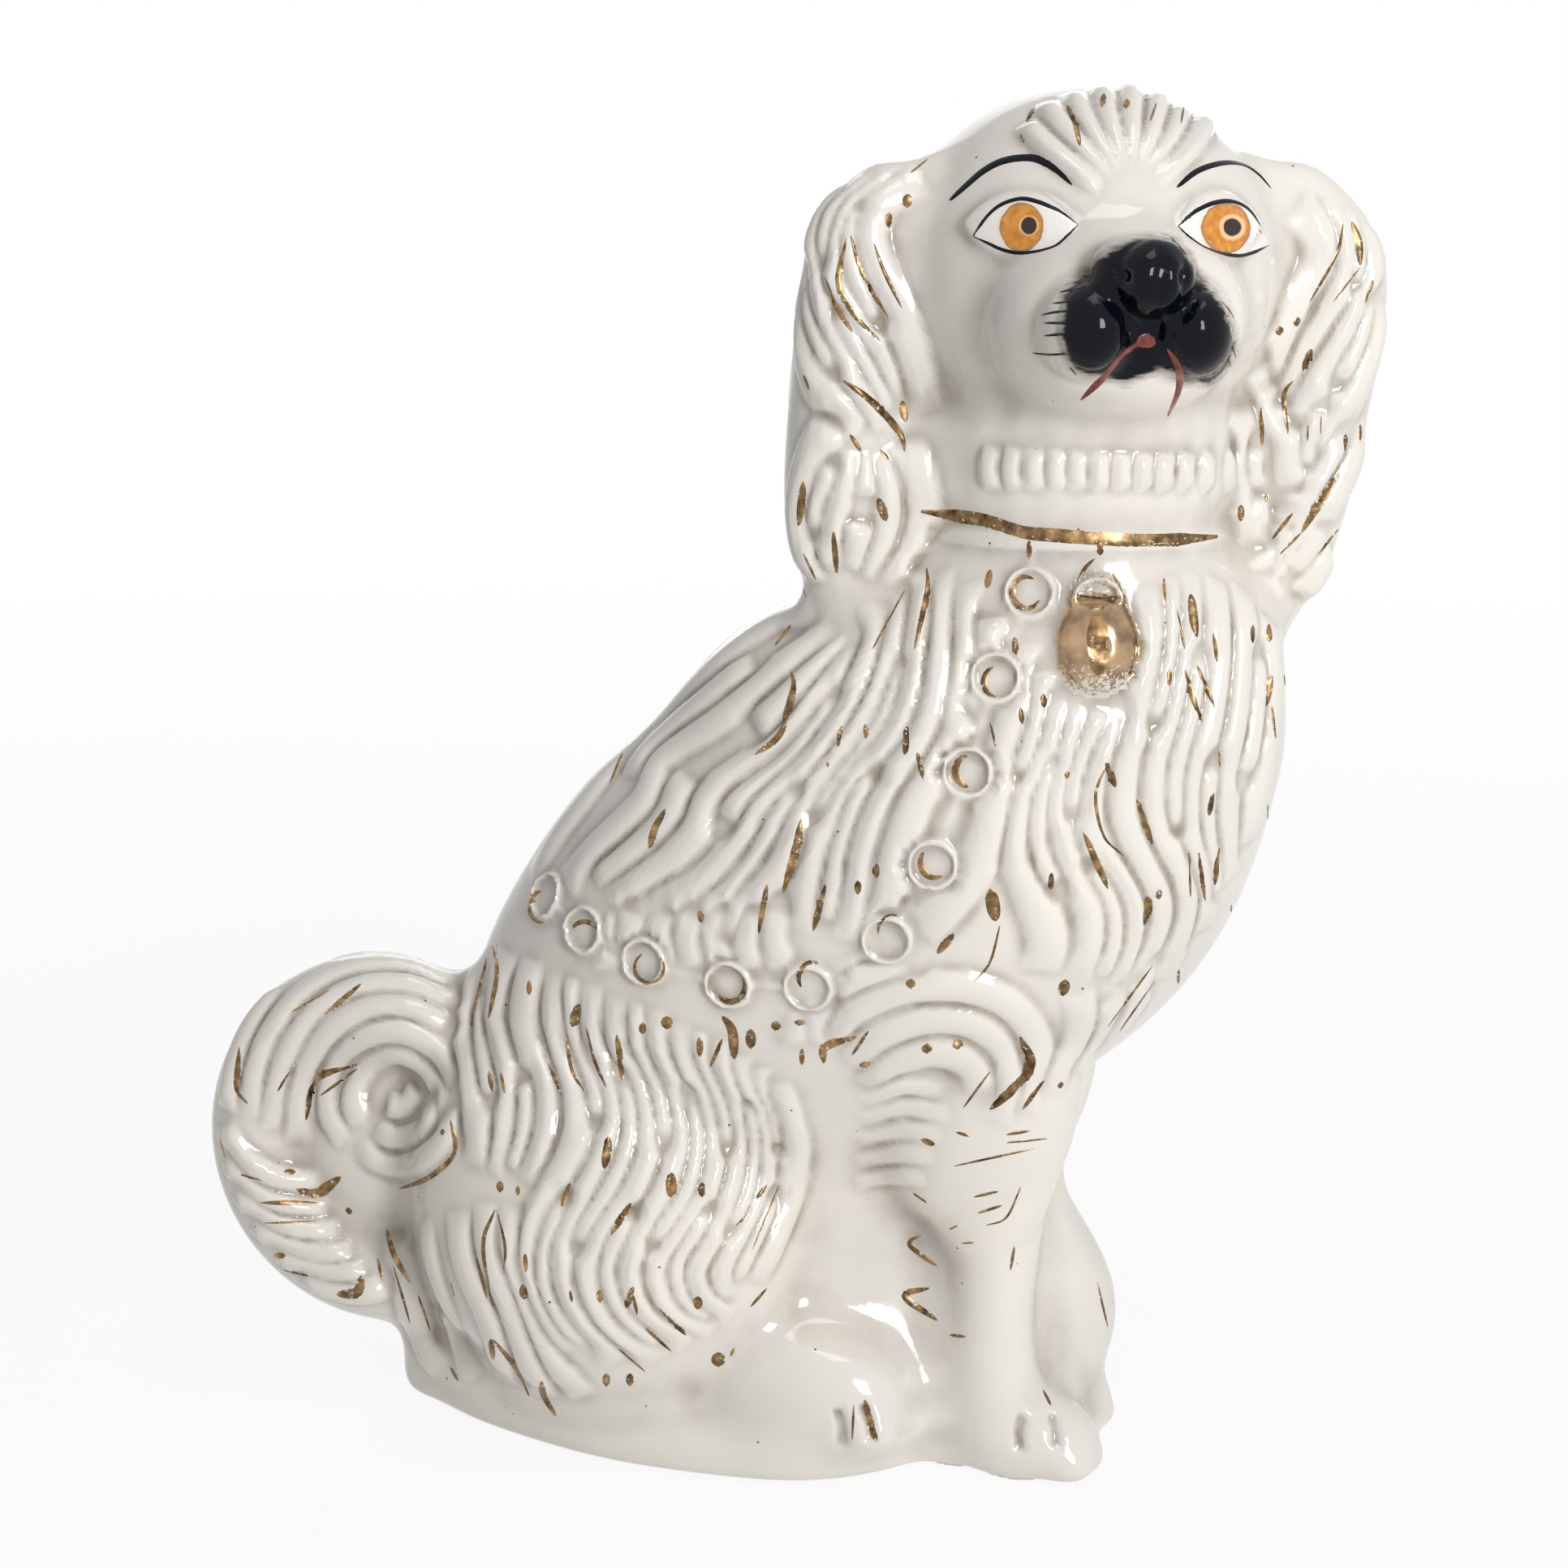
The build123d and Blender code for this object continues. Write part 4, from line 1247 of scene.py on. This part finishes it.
CHEST_STROKES = (
    ((1142, 700), (1142, 730), (1127, 800), 6), ((1220, 702), (1216, 725), 8),
    ((1115, 727), (1075, 800), 3), ((975, 770), (955, 795), 6),
    ((975, 827), (977, 850), (960, 905), (930, 930), 9), ((1285, 855), (1287, 872), 8),
    ((1257, 872), (1260, 892), 6), ((1067, 892), (1067, 910), 7), ((1117, 895), (1115, 930), 9),
    ((1037, 895), (1032, 920), 7), ((1130, 927), (1138, 960), 6), ((1220, 890), (1227, 920), 3),
    ((1365, 940), (1350, 980), (1360, 1030), (1385, 1055), 4), ((1362, 940), (1375, 970), 9),
    ((1400, 985), (1420, 1040), 8), ((1335, 1025), (1350, 1060), (1365, 1095), 8),
    ((1495, 977), (1490, 1005), 9), ((1502, 925), (1503, 945), 3), ((1315, 950), (1315, 960), 6),
    ((1467, 732), (1475, 785), 11), ((1434, 712), (1436, 740), 4), ((1450, 750), (1460, 800), 3),
    ((1495, 780), (1500, 817), 4), ((1441, 825), (1441, 845), 8),
    ((1460, 825), (1470, 860), (1482, 890), 6), ((1475, 820), (1497, 872), 5),
    ((1544, 770), (1544, 792), 9), ((1564, 769), (1564, 791), 9), ((1567, 832), (1560, 870), 8),
    ((1582, 832), (1588, 877), 8), ((1567, 870), (1572, 910), 4), ((1562, 985), (1562, 1025), 3),
    ((1415, 1105), (1410, 1140), 15), ((1428, 1096), (1428, 1108), 8), ((1295, 1075), (1295, 1097), 7),
    ((1465, 1050), (1467, 1105), 4), ((1477, 1050), (1485, 1110), 5), ((1502, 1045), (1497, 1090), 8),
    ((1517, 1115), (1517, 1135), 4), ((1452, 1195), (1452, 1212), 5), ((1220, 1095), (1227, 1135), 15),
    ((1232, 1140), (1220, 1185), (1200, 1210), 3), ((1175, 1150), (1155, 1175), 9),
    ((1312, 1207), (1310, 1227), 13), ((1122, 1206), (1122, 1218), 11),
    ((1257, 1277), (1270, 1310), (1250, 1340), (1220, 1367), 13), ((1287, 1330), (1260, 1367), 6),
    ((1220, 1320), (1187, 1365), 3), ((1142, 1286), (1142, 1298), 12), ((1180, 1281), (1180, 1293), 12),
    ((1307, 1333), (1307, 1341), 8), ((1420, 1190), (1365, 1265), 3), ((1422, 1210), (1380, 1270), 3),
    ((820, 997), (807, 1020), (800, 1045), 10), ((767, 927), (752, 965), 4),
    ((987, 1010), (980, 1050), (965, 1100), 10), ((945, 1090), (935, 1150), 7),
    ((1017, 1090), (1002, 1147), 8), ((1057, 1085), (1057, 1102), 8), ((1080, 1064), (1080, 1082), 10),
    ((862, 1122), (865, 1137), 8), ((1020, 939), (1020, 945), 4),
)
HAUNCH_STROKES = (
    ((607, 1165), (612, 1200), (602, 1255), 8), ((600, 1180), (580, 1265), 5),
    ((652, 1208), (652, 1226), 7), ((715, 1237), (705, 1265), 14),
    ((722, 1265), (732, 1305), (747, 1340), 5), ((697, 1280), (705, 1320), (720, 1345), 4),
    ((675, 1310), (692, 1350), 4), ((760, 1275), (767, 1330), 8), ((792, 1260), (792, 1274), 9),
    ((822, 1252), (822, 1268), 14), ((862, 1278), (862, 1302), 9), ((925, 1268), (925, 1292), 12),
    ((956, 1258), (956, 1270), 11), ((985, 1256), (985, 1264), 12),
    ((890, 1252), (902, 1270), (905, 1305), 12), ((890, 1280), (875, 1315), 5),
    ((988, 1292), (988, 1312), 6), ((1055, 1277), (1017, 1290), (1015, 1310), 11),
    ((1070, 1270), (1050, 1300), 4), ((1065, 1308), (1065, 1316), 12), ((602, 1320), (607, 1345), 6),
    ((617, 1322), (622, 1347), 5), ((750, 1400), (745, 1440), 11), ((827, 1445), (827, 1475), 14),
    ((865, 1457), (865, 1475), 9), ((616, 1455), (616, 1469), 10), ((638, 1461), (638, 1473), 6),
    ((777, 1482), (752, 1522), 9), ((702, 1457), (692, 1487), 6), ((945, 1460), (932, 1477), 5),
    ((920, 1497), (907, 1510), 3), ((960, 1460), (927, 1540), 2),
    ((610, 1490), (595, 1535), (607, 1610), 6), ((612, 1490), (622, 1535), (620, 1570), 4),
    ((587, 1550), (600, 1600), 4), ((647, 1545), (648, 1567), 6), ((646, 1583), (646, 1601), 12),
    ((477, 1515), (485, 1545), (505, 1580), 8), ((485, 1560), (505, 1630), 4),
    ((465, 1550), (472, 1580), 4), ((515, 1595), (530, 1640), 3), ((555, 1685), (565, 1702), 6),
    ((555, 1580), (560, 1597), 3), ((702, 1590), (705, 1605), 4), ((737, 1590), (740, 1605), 7),
    ((780, 1585), (772, 1612), 8), ((780, 1595), (785, 1620), 5),
    ((812, 1612), (830, 1630), (845, 1645), 6), ((795, 1637), (827, 1665), 4),
    ((860, 1597), (860, 1613), 11), ((945, 1587), (925, 1610), 5), ((762, 1662), (795, 1690), 3),
    ((605, 1650), (607, 1675), 9), ((607, 1650), (635, 1685), (652, 1720), 7),
    ((667, 1702), (670, 1720), (685, 1745), 10), ((747, 1692), (747, 1708), 9),
    ((776, 1692), (776, 1708), 9), ((885, 1666), (885, 1684), 16), ((905, 1660), (900, 1672), 4),
)
TAIL_STROKES = (
    ((405, 1220), (360, 1247), 5), ((445, 1212), (400, 1250), 6),
    ((295, 1290), (292, 1340), (305, 1360), 7), ((357, 1320), (342, 1345), 4),
    ((440, 1312), (390, 1330), (377, 1380), 9), ((440, 1317), (395, 1350), 4),
    ((545, 1391), (545, 1399), 8), ((555, 1380), (560, 1420), (530, 1450), (492, 1465), 7),
    ((295, 1447), (325, 1455), 3), ((350, 1444), (364, 1444), 8),
    ((420, 1450), (390, 1470), (365, 1465), 13), ((320, 1482), (390, 1482), 6),
    ((426, 1492), (434, 1492), 9), ((325, 1507), (390, 1505), 3), ((338, 1547), (352, 1547), 8),
    ((350, 1565), (380, 1572), 5), ((445, 1572), (440, 1592), (415, 1595), 14),
    ((270, 1400), (277, 1425), 3),
)
LEG_STROKES = (
    ((1135, 1404), (1152, 1410), 9), ((1178, 1395), (1195, 1400), 4), ((1240, 1398), (1270, 1393), 4),
    ((1240, 1408), (1290, 1403), 3), ((1175, 1437), (1230, 1425), (1275, 1415), 3),
    ((1200, 1475), (1230, 1468), 4), ((1205, 1495), (1235, 1485), 4),
    ((1215, 1510), (1240, 1500), (1258, 1462), 3), ((1125, 1470), (1142, 1482), 5),
    ((1170, 1515), (1180, 1510), 3), ((1185, 1532), (1200, 1531), 3),
    ((1135, 1522), (1120, 1532), (1140, 1550), (1155, 1560), 6),
    ((1145, 1587), (1115, 1597), (1155, 1627), 8), ((1170, 1645), (1190, 1647), 4),
    ((1250, 1535), (1245, 1565), 4), ((1285, 1712), (1295, 1732), 5),
    ((1065, 1725), (1075, 1760), (1080, 1777), 10), ((1052, 1730), (1050, 1775), 3),
    ((1352, 1580), (1365, 1635), 4),
)
for title, strokes in (
    ("head", HEAD_STROKES), ("left_ear", LEFT_EAR_STROKES), ("right_ear", RIGHT_EAR_STROKES),
    ("chest", CHEST_STROKES), ("haunch", HAUNCH_STROKES), ("tail", TAIL_STROKES), ("legs", LEG_STROKES),
):
    fur_brush = Brush()
    fur_brush.strokes(strokes)
    fur_brush.piece("gilt_on_" + title, stroke_gold, "gilding")


# Eyes
# Each eye is a low moulded dome. It is painted white, with an orange iris, a brown pupil and a black outline
# drawn with a fine brush, and a brow over it.
EYES = (
    {
        "name": "eye_left",
        "upper": (
            (1199, 291), (1217, 267), (1231, 254), (1247, 247), (1262, 245), (1279, 249), (1294, 255),
            (1308, 262), (1328, 277),
        ),
        "lower": (
            (1199, 291), (1217, 299), (1231, 306), (1249, 311), (1268, 311), (1288, 307), (1303, 301),
            (1316, 289), (1328, 277),
        ),
        "iris": (1259, 280, 26, 29),
        "pupil": (1268, 278, 10, 11),
        "pupil_highlight_ring": 12.5,
        "brow": (
            (1170, 247), (1192, 227), (1211, 211), (1231, 200), (1252, 195), (1272, 195), (1288, 201),
            (1303, 211), (1321, 228),
        ),
        "brow_width": 11,
    },
    {
        "name": "eye_right",
        "upper": (
            (1452, 279), (1465, 268), (1477, 259), (1497, 250), (1517, 248), (1535, 255), (1548, 270),
            (1557, 288), (1563, 302),
        ),
        "lower": (
            (1452, 279), (1466, 292), (1484, 304), (1505, 312), (1525, 315), (1541, 312), (1553, 307),
            (1563, 302),
        ),
        "iris": (1510, 281, 29, 30),
        "pupil": (1518, 280, 11, 11),
        "pupil_highlight_ring": 16.5,
        "brow": ((1450, 231), (1475, 211), (1505, 201), (1530, 202), (1550, 214), (1566, 232)),
        "brow_width": 7,
    },
)
eye_columns = 44
eye_rows = 20
map_unit = 1000
# The paint stands this far off the dome, and its edge dips in.
paint_lift = 0.09
edge_lift = -0.10


def eye_enamel(eye):
    """The painted eye, by the distance from the middles of its iris and pupil on the piece's own map."""
    material, tree, place = new_material("painted_" + eye["name"])
    on_eye = node(tree, "UVMap", uv_map="eye")
    wobble = node(tree, "TexNoise", Vector=place, Scale=1 / (2.5 * mm))
    wobble = node(tree, "MapRange", wobble, 0.3, 0.7, -0.035, 0.035)

    def distance(x, y, across, down):
        """0 at the middle of an ellipse of the photograph and 1 on its edge."""
        moved = node(
            tree, "Mapping", vector_type="TEXTURE", Vector=on_eye, Location=(x / map_unit, y / map_unit, 0),
            Scale=(across / map_unit, down / map_unit, 1)
        )
        away = node(tree, "VectorMath", moved, operation="LENGTH")
        return node(tree, "Math", away, wobble, operation="ADD")

    iris = distance(*eye["iris"])
    pupil = distance(*eye["pupil"])
    # A pale ring round the pupil is a painted highlight.
    ring = distance(*eye["pupil"][:2], eye["pupil_highlight_ring"], eye["pupil_highlight_ring"])
    near_iris = node(tree, "MapRange", iris, 1.0, 1.22, 1.0, 0.0)
    white = node(tree, "Mix", near_iris, linear("#F1EEE9"), linear("#F3D9C0"), data_type="RGBA")
    mottled = node(tree, "TexNoise", Vector=place, Scale=1 / (1.6 * mm), Detail=3.0)
    mottled = node(tree, "MapRange", mottled, 0.3, 0.7)
    colour = node(tree, "Mix", mottled, linear("#C0731A"), linear("#E39C3C"), data_type="RGBA")
    in_iris = node(tree, "MapRange", iris, 0.96, 1.0, 1.0, 0.0)
    colour = node(tree, "Mix", in_iris, white, colour, data_type="RGBA")
    rim = node(tree, "Math", node(tree, "Math", iris, 1.0, operation="SUBTRACT"), operation="ABSOLUTE")
    for measure, span, brown in (
        (rim, (0.02, 0.05, 0.75, 0.0), "#6B3A12"),
        (ring, (0.9, 1.05, 0.9, 0.0), "#F0C795"),
        (pupil, (0.92, 1.05, 1.0, 0.0), "#24130C"),
    ):
        painted = node(tree, "MapRange", measure, *span)
        colour = node(tree, "Mix", painted, colour, linear(brown), data_type="RGBA")
    surface = node(tree, "BsdfPrincipled", Base_Color=colour, Roughness=0.12, IOR=1.5)
    node(tree, "OutputMaterial", Surface=surface)
    return material


def eye_patch(eye):
    """A thin white almond on the dome. Its map is the photograph's pixels, in thousands."""
    upper = smooth_line(eye["upper"], 2.0)
    lower = smooth_line(eye["lower"], 2.0)
    xs = np.linspace(upper[0, 0] + 0.5, upper[-1, 0] - 0.5, eye_columns)
    tops = np.interp(xs, upper[:, 0], upper[:, 1])
    bottoms = np.interp(xs, lower[:, 0], lower[:, 1])
    points, marks, faces = [], [], []
    for x, top, bottom in zip(xs, tops, bottoms):
        for row, y in enumerate(np.linspace(bottom, top, eye_rows)):
            place, _, face, _ = skin_tree.ray_cast(camera_place, pixel_ray(x, y))
            lift = edge_lift if row in (0, eye_rows - 1) else paint_lift
            points.append(np.array(place) + way_out(face) * lift)
            marks.append((x / map_unit, y / map_unit))
    for column in range(eye_columns - 1):
        for row in range(eye_rows - 1):
            corner = column * eye_rows + row
            faces.append((corner, corner + eye_rows, corner + eye_rows + 1, corner + 1))
    name = "painted_" + eye["name"]
    mesh = add_piece(name, points, faces, eye_enamel(eye), [eye["name"]])
    layer = mesh.uv_layers.new(name="eye")
    corners = [marks[loop.vertex_index] for loop in mesh.loops]
    layer.data.foreach_set("uv", np.array(corners, np.float32).ravel())


outline_brush = Brush(1.35)
for eye in EYES:
    eye_patch(eye)
    outline_brush.stroke(eye["upper"], 6.5, square_end)
    outline_brush.stroke(eye["lower"], 4.5, square_end)
    outline_brush.stroke(eye["brow"], eye["brow_width"], late_leaf)


# Whisker hairs and mouth
# Fine black hairs are flicked out from the muzzle with the same brush that drew the eyes. Red-brown enamel
# marks the mouth, with a dab under the nose and a stroke down each lip.
WHISKERS = (
    ((1283, 388), (1304, 384), (1320, 384), 3), ((1286, 398), (1306, 398), (1322, 399), 3),
    ((1286, 414), (1306, 412), (1320, 412), 3), ((1272, 435), (1292, 437), (1316, 436), 3),
    ((1297, 374), (1313, 372), (1326, 371), 3), ((1306, 360), (1324, 356), (1338, 354), 4),
    ((1318, 452), (1326, 462), 2), ((1506, 372), (1516, 384), (1522, 397), 2),
    ((1516, 420), (1523, 441), 2), ((1511, 436), (1517, 454), 2),
    ((1440, 290), (1450, 300), (1462, 314), 3),
)
MOUTH = (
    ((1400, 424), (1411, 420), (1424, 423), 14),
    ((1408, 420), (1385, 436), (1368, 456), (1350, 475), (1332, 493), 9),
    ((1438, 430), (1448, 445), (1454, 462), (1451, 485), (1439, 513), 8),
)
outline_brush.strokes(WHISKERS)
outline_brush.piece("black_brush_lines", brush_black, "black_enamel")

mouth_red, tree, place = new_material("red_brown_enamel")
uneven = node(tree, "TexNoise", Vector=place, Scale=1 / (2.0 * mm), Detail=3.0)
uneven = node(tree, "MapRange", uneven, 0.35, 0.65)
red = node(tree, "Mix", uneven, linear("#5E1F1A"), linear("#8A3A30"), data_type="RGBA")
node(tree, "OutputMaterial", Surface=node(tree, "BsdfPrincipled", Base_Color=red, Roughness=0.18, IOR=1.5))
mouth_brush = Brush()
mouth_brush.strokes(MOUTH)
mouth_brush.piece("red_mouth_lines", mouth_red, "eye_enamel")
